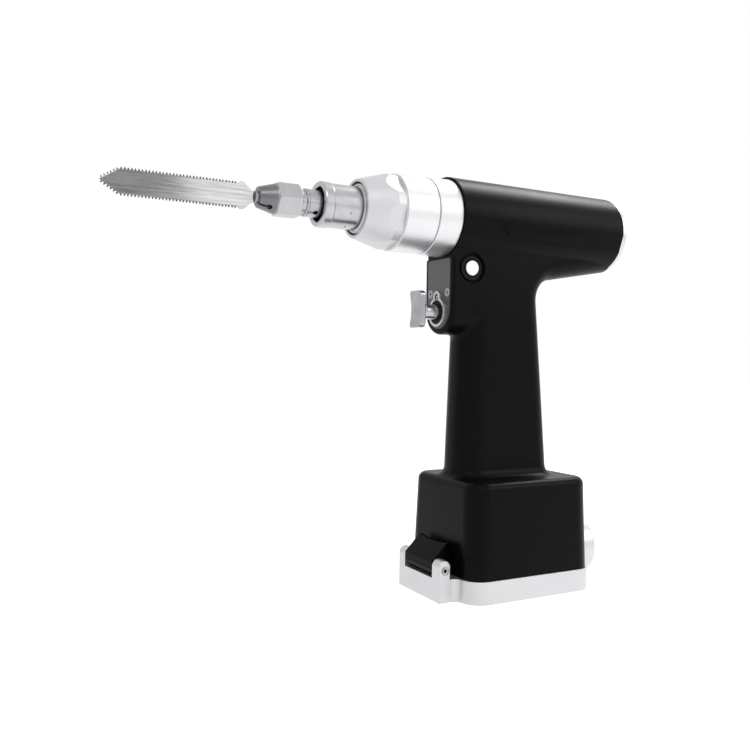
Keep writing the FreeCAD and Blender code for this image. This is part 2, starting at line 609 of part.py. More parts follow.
def make_facet(side):
    """The flat along one side of the barrel, which leaves a raised tongue in its middle."""
    length = barrel_front - barrel_rear + 4
    slab = block(f"facet_slab_{side}", (barrel_rear - 2, barrel_rear - 2 + length),
                 (barrel_radius - facet_depth, barrel_radius + 4), (-barrel_radius / 2, barrel_radius / 2))
    angle = -facet_angle if side == "left" else facet_angle + 180
    flat = turned_copy(f"facet_{side}", slab, Vector(1, 0, 0), angle)
    flat.Placement.Base.z += axis_height.value
    low = axis_height - tongue_drop
    high = axis_height + 1
    corners = [(tongue_front - tongue_slant_front, low), (tongue_front, high),
               (tongue_rear, high), (tongue_rear + tongue_slant_rear, low)]
    tongue = prism(f"tongue_{side}", "XZ_Plane", corners, barrel_radius * 4, both_ways=True)
    return cut(f"facet_cut_{side}", flat, tongue)


def plate_outline(name, start, end, gap):
    """The plate's shape with its round lower end, larger by a gap."""
    half = plate_half_width + gap
    top = plate_top + gap
    body = new_body(name + "_upper")
    outline = polygon(body, name + "_corners", "YZ_Plane", [
        (-half, lobe_centre_height), (half, lobe_centre_height), (half, top), (-half, top)], start)
    pad = raised(body, name + "_pad", outline, as_size(end) - start)
    rounded(body, pad, name + "_round", plate_corner_round, lambda point:
            near(point.z, top) and near(abs(point.y), half))
    lower = bar(name + "_lower", "X", start, end, half, z=lobe_centre_height)
    return join(name, body, lower)


def keyhole(name, start, end, gap):
    """The boss's shape, a large and a small round joined by a neck, smaller by a gap."""
    small = pin_lobe_radius - gap
    return [bar(name + "_lobe", "X", start, end, boss_radius - gap, z=trigger_height),
            bar(name + "_pin_lobe", "X", start, end, small, z=guide_pin_height),
            block(name + "_neck", (start, end), (-small, small), (trigger_height, guide_pin_height))]


def make_casing():
    form = make_casing_form()
    boss = bar("knob_boss", "X", knob_front + 0.2, box_rear + 3, knob_boss_radius, z=knob_height)
    grip_room = prism("grip_room", "XZ_Plane", [
        (grip_front_foot - room_foot_wall, box_bottom + room_foot_rise),
        (grip_front_head - room_front_wall, web_start_height - room_head_drop),
        (grip_rear_head + room_rear_wall, web_start_height - room_head_drop),
        (grip_rear_foot + room_foot_wall, box_bottom + room_foot_rise)],
        (grip_half_width - room_side_wall) * 2, both_ways=True)
    lobe_reach = lobe_front + 2
    tools = [
        bar("barrel_bore_tool", "X", barrel_rear - 1, barrel_front + 3, barrel_bore, z=axis_height),
        block("nose_room", (barrel_front, lobe_reach), (-barrel_radius, barrel_radius),
              (lobe_top, axis_height)),
        grip_room,
        rounded_block("battery_room", (box_rear + box_wall, box_front - box_wall),
                      (-(box_half_width - box_wall), box_half_width - box_wall),
                      (box_bottom - 1, box_top - box_roof), box_corner_round - box_wall),
        bar("wire_passage", "Z", web_start_height - room_head_drop - 2, axis_height - barrel_bore + 2,
            wire_hole_radius, x=grip_front_head - wire_hole_back),
        plate_outline("plate_recess_tool", lobe_front - plate_recess, lobe_reach, fit_gap),
        bar("trigger_bore", "X", spring_rear - 0.45, lobe_reach, bush_radius + fit_gap, z=trigger_height),
        bar("guide_pin_hole", "X", lobe_front - 7, lobe_reach, guide_pin_radius + fit_gap,
            z=guide_pin_height),
        bar("button_bore", "Y", grip_half_width - bushing_depth - bushing_sink - fit_gap,
            grip_half_width + 1, bushing_radius + fit_gap, x=button_x, z=button_height),
        turned("button_spotface", "Y", [
            (0, grip_half_width - spotface_depth), (spotface_radius, grip_half_width - spotface_depth),
            (spotface_radius, grip_half_width - spotface_lip),
            (spotface_radius + spotface_lip + 1, grip_half_width + 1), (0, grip_half_width + 1)],
            x=button_x, z=button_height),
        bar("knob_bore", "X", knob_front - 1, box_rear + box_wall + 1,
            knob_shaft_radius + running_gap, z=knob_height),
        make_facet("left"),
        make_facet("right"),
    ]
    for side, direction in (("left", 1), ("right", -1)):
        tools.append(bar(f"plate_screw_hole_{side}", "X", lobe_front - screw_length - 2, lobe_reach,
                         screw_radius + fit_gap, y=plate_screw_spread * direction,
                         z=plate_screw_height))
    keep("body_casing", cut("casing", join("casing_with_boss", form, boss), *tools))


def make_rear_cap():
    """End cap with a shallow dish and two holes for a pin spanner."""
    rim = barrel_radius - 0.75
    back = barrel_rear - 3.2
    cap = turned("rear_cap_form", "X", [
        (back, 0), (back, rim - 6), (back - 0.6, rim - 4), (back - 0.6, rim - 0.8),
        (back + 0.2, rim), (barrel_rear, rim), (barrel_rear, barrel_bore - fit_gap),
        (barrel_rear + 3, barrel_bore - fit_gap),
        (barrel_rear + 3, barrel_bore - 1.2), (barrel_rear + 5, barrel_bore - 1.2),
        (barrel_rear + 5, barrel_bore - fit_gap), (barrel_rear + 6.5, barrel_bore - fit_gap),
        (barrel_rear + 6.5, barrel_bore - 3), (barrel_rear, barrel_bore - 3), (barrel_rear, 0)],
        z=axis_height)
    holes = [bar(f"spanner_hole_{side}", "X", back - 1, back + 1.6, 1.5, y=direction * 11, z=axis_height)
             for side, direction in (("left", 1), ("right", -1))]
    keep("rear_cap", cut("rear_cap_cut", cap, *holes))
    keep("rear_cap_seal", tube("rear_cap_ring", "X", barrel_rear + 3.1, barrel_rear + 4.9,
                               barrel_bore - 0.02, barrel_bore - 1.15, z=axis_height))


def make_motor():
    rear = motor_front - motor_length
    inside = motor_radius - motor_wall
    seat = bearing_radius + fit_gap
    front_seat = motor_front - 2
    keep("motor_can", turned("motor_can_form", "X", [
        (rear, inside), (rear, motor_radius), (motor_front, motor_radius), (motor_front, 3.4),
        (front_seat, 3.4), (front_seat, seat), (front_seat - bearing_width, seat),
        (front_seat - bearing_width, inside)], z=axis_height))
    bell_seat = rear + 2
    keep("motor_end_bell", turned("motor_end_bell_form", "X", [
        (rear - 6, inside - 1), (rear - 6, motor_radius), (rear - fit_gap, motor_radius),
        (rear - fit_gap, inside - fit_gap), (bell_seat + bearing_width, inside - fit_gap),
        (bell_seat + bearing_width, seat), (bell_seat, seat), (bell_seat, 0), (rear, 0),
        (rear, inside - 1)], z=axis_height))
    bore = motor_shaft_radius + fit_gap
    for name, start in (("motor_front_bearing", front_seat - bearing_width),
                        ("motor_rear_bearing", bell_seat)):
        keep(name, tube(name + "_ring", "X", start, start + bearing_width, bearing_radius, bore,
                        z=axis_height))
    middle_x = motor_front - motor_length / 2
    stator_start = middle_x - stator_length / 2
    stator_end = middle_x + stator_length / 2
    ring = tube("stator_ring", "X", stator_start, stator_end, inside - fit_gap, stator_bore, z=axis_height)
    slots = []
    coils = []
    for number in range(int(coil_count.value)):
        angle = 2 * math.pi * number / coil_count.value
        across = (stator_bore + coil_radius + 0.9) * math.cos(angle)
        up = axis_height + (stator_bore + coil_radius + 0.9) * math.sin(angle)
        slots.append(bar(f"slot_{number}", "X", stator_start - 1, stator_end + 1,
                         coil_radius + fit_gap, y=across, z=up))
        coils.append(bar(f"coil_{number}", "X", stator_start - 2, stator_end + 2, coil_radius,
                         y=across, z=up))
    keep("motor_stator", cut("stator", ring, *slots))
    keep("motor_coils", group("coils", *coils))
    keep("rotor_magnet", tube("magnet", "X", stator_start + 2, stator_end - 2, magnet_radius, bore,
                              z=axis_height))
    keep("motor_shaft", turned("motor_shaft_form", "X", [
        (rear + 2.4, 0), (rear + 2.4, motor_shaft_radius), (pinion_rear + 4.2, motor_shaft_radius),
        (pinion_rear + 4.2, 0)], z=axis_height))
    keep("driver_board", tube("driver_disc", "X", rear - 7.6, rear - 6, motor_radius - 0.2, 3,
                              z=axis_height))


def gear_outline(teeth, pitch_radius):
    """Corners of a spur gear with straight-sided teeth, a gap at its lowest point."""
    share = math.pi * tooth_share.value / teeth
    widths = ((-tooth_root.value, share * 1.45), (tooth_top.value, share * 0.5))
    points = []
    for number in range(teeth):
        centre = -math.pi / 2 + 2 * math.pi * (number + 0.5) / teeth
        for side in (-1, 1):
            for height, half in widths if side < 0 else widths[::-1]:
                angle = centre + side * half
                radius = pitch_radius + height
                points.append(Vector(0, radius * math.cos(angle), radius * math.sin(angle)))
    return points


def make_pinion():
    """Spur pinion on the motor shaft, driven from the shaft's and the gear's sizes."""
    points = gear_outline(int(pinion_teeth.value), pinion_radius.value)
    face = Part.Face(Part.makePolygon(points + points[:1]))
    width = gear_face_outer.value - gear_face_inner.value + 0.6
    solid = face.extrude(Vector(width, 0, 0))
    bore = motor_shaft_radius.value + fit_gap.value / 2
    solid = solid.cut(Part.makeCylinder(bore, width + 2, Vector(-1, 0, 0), Vector(1, 0, 0)))
    pinion = document.addObject("Part::Feature", "pinion")
    pinion.Shape = solid
    place(pinion, pinion_rear, 0, axis_height)
    keep("drive_pinion", pinion)


def face_tooth(angle):
    """One radial tooth of the face gear, a wedge that narrows upwards."""
    pitch = math.pi * (gear_face_inner.value + gear_face_outer.value) / gear_teeth.value
    sections = []
    for radius in (gear_face_inner.value, gear_face_outer.value):
        low = pitch * tooth_share.value * 0.72
        high = pitch * tooth_share.value * 0.28
        foot = -0.2
        top = tooth_root.value + tooth_top.value
        corners = [Vector(radius, -low, foot), Vector(radius, low, foot),
                   Vector(radius, high, top), Vector(radius, -high, top)]
        sections.append(Part.makePolygon(corners + corners[:1]))
    tooth = Part.makeLoft(sections, True, True)
    tooth.rotate(Vector(), Vector(0, 0, 1), math.degrees(angle))
    return tooth


def make_crank():
    """Face gear with its axle and crank pin. One tooth points straight back into the pinion's gap."""
    solid = Part.makeCylinder(gear_face_outer.value, gear_disc_thickness.value,
                              Vector(0, 0, -gear_disc_thickness.value))
    axle_depth = gear_disc_thickness.value + axle_length.value
    solid = solid.fuse(Part.makeCylinder(axle_radius.value, axle_depth, Vector(0, 0, -axle_depth)))
    count = int(gear_teeth.value)
    teeth = [face_tooth(math.pi + 2 * math.pi * number / count) for number in range(count)]
    solid = solid.multiFuse(teeth).removeSplitter()
    gear = document.addObject("Part::Feature", "gear")
    gear.Shape = solid
    place(gear, crank_x, 0, disc_top)
    keep("crank_gear", gear)
    pin_x = crank_x + stroke / 2
    keep("crank_pin", turned("crank_pin_form", "Z", [
        (0, disc_top), (roller_radius, disc_top), (roller_radius, axis_height + yoke_low - 0.4),
        (crank_pin_radius, axis_height + yoke_low - 0.4),
        (crank_pin_radius, axis_height + yoke_high - 0.2), (0, axis_height + yoke_high - 0.2)],
        x=pin_x))
    keep("crank_roller", tube("roller", "Z", axis_height + yoke_low - 0.3, axis_height + yoke_high - 0.6,
                              roller_radius, crank_pin_radius + running_gap, x=pin_x))
    bearing_top = disc_bottom - 0.9
    keep("crank_bearing", tube("crank_bearing_ring", "Z", bearing_top - axle_bearing_width, bearing_top,
                               axle_bearing_radius, axle_radius + running_gap, x=crank_x))


def make_gear_frame():
    """Frame inside the nose with the well of the crank gear and the seat of its bearing."""
    frame_front = housing_front - collar_spigot - 0.5
    form = bar("frame_form", "X", motor_front, frame_front, nose_bore - fit_gap, z=axis_height)
    well = bar("gear_well", "Z", disc_bottom - 0.5, axis_height + nose_radius,
               gear_face_outer + frame_rear_play, x=crank_x)
    seat = bar("bearing_seat", "Z", disc_bottom - 0.9 - axle_bearing_width, disc_bottom,
               axle_bearing_radius + fit_gap, x=crank_x)
    axle_hole = bar("axle_hole", "Z", disc_bottom - axle_length - 0.5, disc_bottom,
                    axle_radius + 0.5, x=crank_x)
    shaft_hole = bar("shaft_hole", "X", motor_front - 1, crank_x, pinion_radius + tooth_top + 0.5,
                     z=axis_height)
    plunger_hole = bar("plunger_hole", "X", crank_x, frame_front + 1, plunger_radius + 1, z=axis_height)
    keep("gear_frame", cut("frame", form, well, seat, axle_hole, shaft_hole, plunger_hole))


def make_yoke():
    """Slotted block that turns the crank pin's circle into the plunger's stroke."""
    front = yoke_x + yoke_half_length
    slab = block("yoke_slab", (yoke_x - yoke_half_length, front), (-yoke_half_width, yoke_half_width),
                 (axis_height + yoke_low, axis_height + yoke_high))
    neck = block("yoke_neck", (front - 0.5, front + 3.8), (-4.6, 4.6),
                 (axis_height + yoke_low, axis_height + yoke_high))
    slot_half = roller_radius + yoke_play
    slot_reach = stroke / 2 + roller_radius + 0.3
    slot = block("yoke_slot", (yoke_x - slot_half, yoke_x + slot_half), (-slot_reach, slot_reach),
                 (axis_height + yoke_low - 1, axis_height + yoke_high + 1))
    socket = bar("yoke_socket", "X", yoke_x + slot_half + 0.5, front + 5, tang_radius + fit_gap,
                 z=axis_height)
    pin_x = front + 1.8
    pin_hole = bar("yoke_pin_hole", "Y", -6, 6, 0.95, x=pin_x, z=axis_height)
    keep("scotch_yoke", cut("yoke", join("yoke_form", slab, neck), slot, socket, pin_hole))
    keep("yoke_pin", bar("yoke_cross_pin", "Y", -4.5, 4.5, 0.9, x=pin_x, z=axis_height))
    return pin_x


def keyed(name, tool):
    """A tool made along +Y, turned to the angle of the cross hole and the slit."""
    return turned_copy(name, tool, Vector(1, 0, 0), key_angle, z=axis_height)


def make_plunger(yoke_pin_x):
    full_start = crank_x + gear_face_outer + stroke + 0.5
    rear = yoke_x + roller_radius + yoke_play + 0.6
    form = turned("plunger_form", "X", [
        (rear, 0), (rear, tang_radius), (full_start, tang_radius), (full_start, plunger_radius),
        (plunger_shoulder - 1.4, plunger_radius), (plunger_shoulder - 1.4, plunger_radius - 0.3),
        (plunger_shoulder - 1.0, plunger_radius - 0.3), (plunger_shoulder - 1.0, plunger_radius + 0.1),
        (plunger_shoulder - 0.4, plunger_radius + 0.1), (plunger_shoulder, plunger_radius - 0.3),
        (plunger_shoulder, neck_radius), (nut_rear, neck_radius), (nut_rear, thread_radius),
        (nut_rear + thread_length, thread_radius), (nut_rear + thread_length, 0)], z=axis_height)
    hole = keyed("cross_hole", bar("cross_hole_bar", "Y", -10, 10, cross_hole_radius,
                                   x=plunger_shoulder - cross_hole_back, z=axis_height))
    pin_hole = bar("tang_pin_hole", "Y", -6, 6, 0.95, x=yoke_pin_x, z=axis_height)
    keep("plunger_shaft", cut("plunger", form, hole, pin_hole))


def make_bushes():
    keep("plunger_rear_bush", tube("rear_bush", "X", housing_front - collar_spigot + 1, mouth_floor - 12,
                                   8.2, plunger_radius + running_gap, z=axis_height))
    front_start = collar_front - 1
    keep("plunger_front_bush", tube("front_bush", "X", front_start, front_start + 12,
                                    sleeve_bore - fit_gap, plunger_radius + running_gap, z=axis_height))
    keep("plunger_seal", turned("seal_form", "X", [
        (front_start + 12.2, plunger_radius + 0.1), (front_start + 12.2, sleeve_bore - fit_gap),
        (front_start + 15.4, sleeve_bore - fit_gap), (front_start + 14.6, plunger_radius + 0.1)],
        z=axis_height))


def make_nose():
    spigot_rear = barrel_front - spigot_length
    keep("nose_ring", turned("nose_ring_form", "X", [
        (spigot_rear, nose_bore), (spigot_rear, barrel_bore - fit_gap),
        (barrel_front, barrel_bore - fit_gap), (barrel_front, ring_rear_radius - 0.4),
        (barrel_front + 0.4, ring_rear_radius),
        (ring_front - seam_width - 0.3, nose_radius + 0.25), (ring_front - seam_width, nose_radius),
        (ring_front - seam_width, nose_radius - seam_depth), (ring_front, nose_radius - seam_depth),
        (ring_front, nose_bore)], z=axis_height))
    keep("gear_housing", turned("gear_housing_form", "X", [
        (ring_front, nose_bore), (ring_front, nose_radius - 0.3), (ring_front + 0.3, nose_radius),
        (housing_front - seam_width - 0.2, nose_radius),
        (housing_front - seam_width, nose_radius - 0.2),
        (housing_front - seam_width, nose_radius - seam_depth),
        (housing_front, nose_radius - seam_depth), (housing_front, nose_bore)], z=axis_height))


def make_collar():
    """Front collar: a cone with flats round its rear end, and a mouth for the sleeve."""
    spigot_rear = housing_front - collar_spigot
    bush_bore = 8.25
    form = turned("collar_form", "X", [
        (spigot_rear, bush_bore), (spigot_rear, nose_bore - fit_gap),
        (housing_front, nose_bore - fit_gap), (housing_front, collar_radius - 0.25),
        (housing_front + 0.25, collar_radius), (housing_front + collar_straight, collar_radius),
        (collar_front - 0.4, collar_mouth_outer + 0.1),
        (collar_front, collar_mouth_outer - 0.25), (collar_front, collar_mouth_radius),
        (mouth_floor, collar_mouth_radius), (mouth_floor, sleeve_radius + fit_gap),
        (mouth_floor - 11.5, sleeve_radius + fit_gap), (mouth_floor - 11.5, bush_bore)], z=axis_height)
    flats = []
    count = int(collar_flats.value)
    for number in range(count):
        slab = block(f"flat_slab_{number}", (housing_front - 1, collar_front + 2),
                     (collar_flat_reach, collar_radius + 6), (-9, 9))
        flat = turned_copy(f"flat_{number}", slab, Vector(1, 0, 0),
                           collar_flat_turn + 360 / count * number)
        flat.Placement.Base.z += axis_height.value
        flats.append(flat)
    keep("front_collar", cut("collar", form, *flats))
    keep("collar_seal", tube("collar_ring", "X", collar_front - 3.2, collar_front - 1.2,
                             collar_mouth_radius - 0.02, sleeve_flange + fit_gap, z=axis_height))


def make_sleeve():
    rear = mouth_floor - 11
    flange_end = mouth_floor + sleeve_flange_length
    lip_rear = sleeve_front - sleeve_lip_length
    form = turned("sleeve_form", "X", [
        (rear, sleeve_bore), (rear, sleeve_radius), (mouth_floor, sleeve_radius),
        (mouth_floor, sleeve_flange), (flange_end - 0.5, sleeve_flange),
        (flange_end, sleeve_flange - 0.5), (flange_end, sleeve_radius + 0.6),
        (flange_end + 0.6, sleeve_radius), (lip_rear, sleeve_radius), (lip_rear + 0.5, sleeve_lip_radius),
        (sleeve_front - 1.0, sleeve_lip_radius), (sleeve_front - 0.3, sleeve_lip_radius - 0.35),
        (sleeve_front, sleeve_lip_radius - 1.0), (sleeve_front, sleeve_bore + 0.6),
        (sleeve_front - 0.6, sleeve_bore)], z=axis_height)
    dots = []
    for number, turn in enumerate((side_dot_turn, low_dot_turn, lowest_dot_turn)):
        drill = bar(f"dot_drill_{number}", "Z", axis_height + sleeve_radius - dot_depth,
                    axis_height + sleeve_radius + 1, dot_radius, x=collar_front + dot_reach)
        dots.append(turned_copy(f"dot_{number}", drill, Vector(1, 0, 0), -turn, z=axis_height))
    keep("nose_sleeve", cut("sleeve", form, *dots))


def make_chuck():
    """Clamp nut: hexagon, slit cone and the collet inside."""
    half = nut_flats / 2
    corner = half / math.cos(math.pi / 6)
    hexagon = []
    for number in range(6):
        angle = math.pi / 3 * number
        hexagon.append((corner * math.cos(angle), axis_height + corner * math.sin(angle)))
    hex_bar = prism("nut_hexagon", "YZ_Plane", hexagon, nut_hex_length + nut_cone_length, lift=nut_rear)
    blank = turned("nut_blank", "X", [
        (nut_rear, 0), (nut_rear, half - 0.3), (nut_rear + 1.0, corner), (cone_rear - 1.1, corner),
        (cone_rear, nut_cone_rear), (nut_front - 0.3, nut_cone_front),
        (nut_front, nut_cone_front - 0.4), (nut_front, 0)], z=axis_height)
    thread_end = nut_rear + thread_length
    seat = nut_front - 6.7
    room = turned("nut_room", "X", [
        (nut_rear - 1, 0), (nut_rear - 1, thread_radius + fit_gap),
        (thread_end + 0.3, thread_radius + fit_gap), (thread_end + 0.3, nut_bore), (seat, nut_bore),
        (seat + 4.9, collet_radius + fit_gap),
        (nut_front + 1, collet_radius + fit_gap), (nut_front + 1, 0)], z=axis_height)
    slit_rear = nut_front - slit_length
    slit = keyed("nut_slit", block("slit_block", (slit_rear, nut_front + 1), (-10, 10),
                                   (axis_height - slit_width / 2, axis_height + slit_width / 2)))
    relief = keyed("nut_relief", bar("relief_bar", "Y", -10, 10, slit_hole_radius, x=slit_rear,
                                     z=axis_height))
    keep("chuck_nut", cut("nut", common("nut_form", hex_bar, blank), room, slit, relief))
    collet_rear = collet_front - collet_length
    shoulder = collet_radius + 1.6
    collet = turned("collet_form", "X", [
        (collet_rear, 0), (collet_rear, shoulder - fit_gap), (seat - 0.1, shoulder - fit_gap),
        (seat + 4.8, collet_radius), (collet_front - 0.3, collet_radius),
        (collet_front, collet_radius - 0.3), (collet_front, 0)], z=axis_height)
    grip_slot = block("collet_slot", (collet_front - blade_tang_length - 0.5, collet_front + 1),
                      (-blade_thickness / 2 - 0.02, blade_thickness / 2 + 0.02),
                      (axis_height - 6, axis_height + 6))
    keep("collet", cut("collet_cut", collet, grip_slot))


def edge_teeth(start, end, rise):
    """Points of saw teeth from start to end, standing out by the rise vector."""
    span = end - start
    count = max(1, round(span.Length / tooth_pitch.value))
    points = []
    for number in range(count):
        points.append(start + span * ((number + 0.08) / count))
        points.append(start + span * ((number + 0.5) / count) + rise)
        points.append(start + span * ((number + 0.92) / count))
    return points


def make_blade():
    """Thin double-edged blade with a pointed tip, toothed on both edges and round the tip."""
    tang_rear = collet_front.value - blade_tang_length.value
    corner_x = collet_front.value + blade_corner_reach.value
    teeth_x = collet_front.value + tooth_start.value
    root = blade_root_half.value
    shoulder = Vector(blade_tip.value - tip_length.value, 0, root)
    point = Vector(blade_tip.value, 0, 0)
    slant = point - shoulder
    outward = Vector(-slant.z, 0, slant.x).normalize() * tooth_height.value
    upper = [Vector(tang_rear, 0, blade_tang_half.value),
             Vector(collet_front.value + 1.2, 0, blade_tang_half.value),
             Vector(corner_x, 0, blade_corner_half.value),
             Vector(corner_x + 1.5, 0, blade_corner_half.value),
             Vector(teeth_x, 0, root)]
    upper += edge_teeth(Vector(teeth_x + 0.1, 0, root), shoulder, Vector(0, 0, tooth_height.value))
    upper += edge_teeth(shoulder, point - slant * 0.04, outward)
    lower = [Vector(corner.x, 0, -corner.z) for corner in reversed(upper)]
    outline = Part.makePolygon(upper + [point] + lower + upper[:1])
    solid = Part.Face(outline).extrude(Vector(0, blade_thickness.value, 0))
    blade = document.addObject("Part::Feature", "blade")
    blade.Shape = solid
    place(blade, 0, -blade_thickness / 2, axis_height)
    keep("saw_blade", blade)


def make_trigger_plate():
    plate = plate_outline("plate_form", lobe_front - plate_recess, plate_front, 0)
    boss_face = plate_front + boss_height
    boss = keyhole("boss", plate_front - 0.5, boss_face, 0)
    tools = keyhole("boss_recess", boss_face - boss_recess_depth, boss_face + 1, boss_rim)
    tools += [
        bar("rod_hole", "X", lobe_front - 5, boss_face + 1, trigger_rod_radius + 0.4, z=trigger_height),
        bar("pin_hole", "X", lobe_front - 5, boss_face + 1, guide_pin_radius + fit_gap, z=guide_pin_height),
    ]
    screws = []
    for side, direction in (("left", 1), ("right", -1)):
        across = plate_screw_spread * direction
        tools.append(bar(f"plate_hole_{side}", "X", lobe_front - 5, plate_front + 1,
                         screw_radius + fit_gap, y=across, z=plate_screw_height))
        head_rear = plate_front - 0.9
        tools.append(turned(f"countersink_{side}", "X", [
            (head_rear - 0.1, 0), (head_rear - 0.1, screw_radius),
            (plate_front - 0.1, screw_head_radius + fit_gap),
            (plate_front + 1, screw_head_radius + fit_gap), (plate_front + 1, 0)],
            y=across, z=plate_screw_height))
        screw = turned(f"plate_screw_{side}", "X", [
            (plate_front - screw_length, 0), (plate_front - screw_length, screw_radius),
            (head_rear, screw_radius), (plate_front - 0.05, screw_head_radius), (plate_front - 0.05, 0)],
            y=across, z=plate_screw_height)
        cross = []
        for part, wide, high in (("flat", 1.1, 0.25), ("upright", 0.25, 1.1)):
            cross.append(block(f"cross_{part}_{side}", (plate_front - 0.6, plate_front + 1),
                               (across - wide, across + wide),
                               (plate_screw_height - high, plate_screw_height + high)))
        screws.append(cut(f"crossed_screw_{side}", screw, *cross))
    keep("trigger_plate", cut("plate", join("plate_with_boss", plate, *boss), *tools))
    keep("trigger_plate_screws", group("plate_screws", *screws))
    keep("trigger_guide_pin", bar("guide_pin", "X", lobe_front - 6.5, boss_face - 0.5,
                                  guide_pin_radius, z=guide_pin_height))
    return boss_face


def make_trigger(boss_face):
    """Finger pad, rod, bush and spring. At rest the rod's flange lies against the bush."""
    keep("trigger_bush", tube("trigger_bush_form", "X", bush_rear, bush_rear + bush_length, bush_radius,
                              trigger_rod_radius + running_gap, z=trigger_height))
    seal_rear = boss_face - boss_recess_depth + fit_gap
    keep("trigger_seal", tube("trigger_seal_form", "X", seal_rear, seal_rear + 0.6,
                              boss_radius - boss_rim - fit_gap, trigger_rod_radius + 0.1,
                              z=trigger_height))
    flange_front = bush_rear - rod_flange_gap
    tail_rear = flange_rear - 4
    keep("trigger_rod", turned("trigger_rod_form", "X", [
        (tail_rear, 0), (tail_rear, 2), (flange_rear, 2), (flange_rear, bush_radius - 0.6),
        (flange_front, bush_radius - 0.6), (flange_front, trigger_rod_radius),
        (trigger_pad_rear - 2, trigger_rod_radius), (trigger_pad_rear - 0.4, trigger_rod_radius - 0.5),
        (trigger_pad_rear - 0.4, 2), (trigger_pad_rear + 1, 2), (trigger_pad_rear + 1, 0)],
        z=trigger_height))
    keep("trigger_magnet", bar("magnet_disc", "X", tail_rear - 1, tail_rear, 1.9, z=trigger_height))
    centre = trigger_height + trigger_pad_lift
    low = centre - trigger_pad_height / 2
    high = centre + trigger_pad_height / 2
    pad_front = trigger_pad_rear + trigger_pad_thickness
    body = new_body("pad_form")
    outline = polygon(body, "pad_outline", "YZ_Plane", [
        (-trigger_pad_half_width, low), (trigger_pad_half_width, low),
        (trigger_pad_half_width, high), (-trigger_pad_half_width, high)], trigger_pad_rear)
    pad = raised(body, "pad_block", outline, trigger_pad_thickness)
    pad = rounded(body, pad, "pad_corners", 2.6, lambda point:
                  near(abs(point.y), trigger_pad_half_width) and (near(point.z, low) or near(point.z, high)))
    rounded(body, pad, "pad_rear_edge", 0.8, lambda point: near(point.x, trigger_pad_rear))
    hollow = bar("pad_hollow", "Y", -20, 20, trigger_pad_hollow,
                 x=pad_front + trigger_pad_hollow - trigger_pad_dip, z=centre)
    socket = bar("pad_socket", "X", trigger_pad_rear - 1, trigger_pad_rear + 1 + fit_gap, fit_gap + 2,
                 z=trigger_height)
    keep("trigger_pad", cut("pad", body, hollow, socket))
    keep("trigger_spring", coil("trigger_coil", "X", spring_rear + 0.05, flange_rear - 0.05, 3.4, 6,
                                z=trigger_height))
    sensor = block("sensor_block", (spring_rear - 6, spring_rear), (-6, 6),
                   (trigger_height - 9, trigger_height + 9))
    foot = block("sensor_foot", (spring_rear - 4.5, spring_rear - 2),
                 (room_side_wall - grip_half_width + fit_gap, grip_half_width - room_side_wall - fit_gap),
                 (trigger_height - 7, trigger_height - 4))
    keep("trigger_sensor", join("sensor", sensor, foot))


def coil(name, axis, start, end, radius, turns, x=0, y=0, z=0):
    """A compression spring of round wire between two limits."""
    seat = spring_wire * 1.4
    length = (as_size(end) - start - seat * 2).value
    helix = Part.makeHelix(length / turns, length, as_size(radius).value)
    first = helix.Edges[0]
    point = first.valueAt(first.FirstParameter)
    along = first.tangentAt(first.FirstParameter)
    ring = Part.Wire([Part.Circle(point, along, spring_wire.value).toShape()])
    solid = Part.Wire(helix.Edges).makePipeShell([ring], True, True)
    turn = {"X": (Vector(0, 1, 0), 90), "Y": (Vector(1, 0, 0), -90)}[axis]
    spring = document.addObject("Part::Feature", name)
    spring.Shape = solid
    spring.Placement = FreeCAD.Placement(Vector(), FreeCAD.Rotation(*turn))
    foot = {"X": (seat + start, y, z), "Y": (x, seat + start, z)}[axis]
    return place(spring, *foot)


def make_side_button():
    side = grip_half_width
    bushing_front = side - bushing_sink
    bushing_rear = bushing_front - bushing_depth
    floor = bushing_rear + 1.5
    keep("button_bushing", turned("bushing_form", "Y", [
        (0, bushing_rear), (bushing_radius, bushing_rear), (bushing_radius, bushing_front - 0.4),
        (bushing_radius - 0.4, bushing_front), (button_radius + 0.9, bushing_front),
        (button_radius + running_gap, bushing_front - 0.8), (button_radius + running_gap, floor),
        (0, floor)],
        x=button_x, z=button_height))
    face = side + button_proud
    back = face - button_length
    keep("side_button", turned("button_form", "Y", [
        (0, back), (button_radius, back), (button_radius, face - 0.35),
        (button_radius - 0.35, face), (0, face)],
        x=button_x, z=button_height))
    keep("button_spring", coil("button_coil", "Y", floor + 0.05, back - 0.05, 3.2, 4,
                               x=button_x, z=button_height))


def make_grip_electronics():
    board_bottom = box_top + board_lift
    board_top = trigger_height - board_top_drop
    count = int((board_top.value - board_bottom.value - 6) / chip_pitch.value)
    chips = []
    for number in range(count):
        chip_bottom = board_bottom + 6 + chip_pitch * number
        chips.append(block(f"chip_{number}", (-8, 2), (0.5, 3.2 + number % 2),
                           (chip_bottom, chip_bottom + chip_length)))
    board = block("board", (-12, 9.8), (-0.8, 0.8), (board_bottom, board_top))
    keep("control_board", join("board_with_chips", board, *chips))
    foot = box_top - box_roof
    side = grip_half_width - room_side_wall - fit_gap
    flange_ends = (grip_rear_foot + room_foot_wall + 2.4, grip_front_foot - room_foot_wall - 1.3)
    keep("contact_block", join("contact_form",
         block("contact_flange", flange_ends, (-side, side), (foot, foot + 4)),
         block("board_foot", (-12, 6), (-5, 5), (foot + 3, board_bottom))))


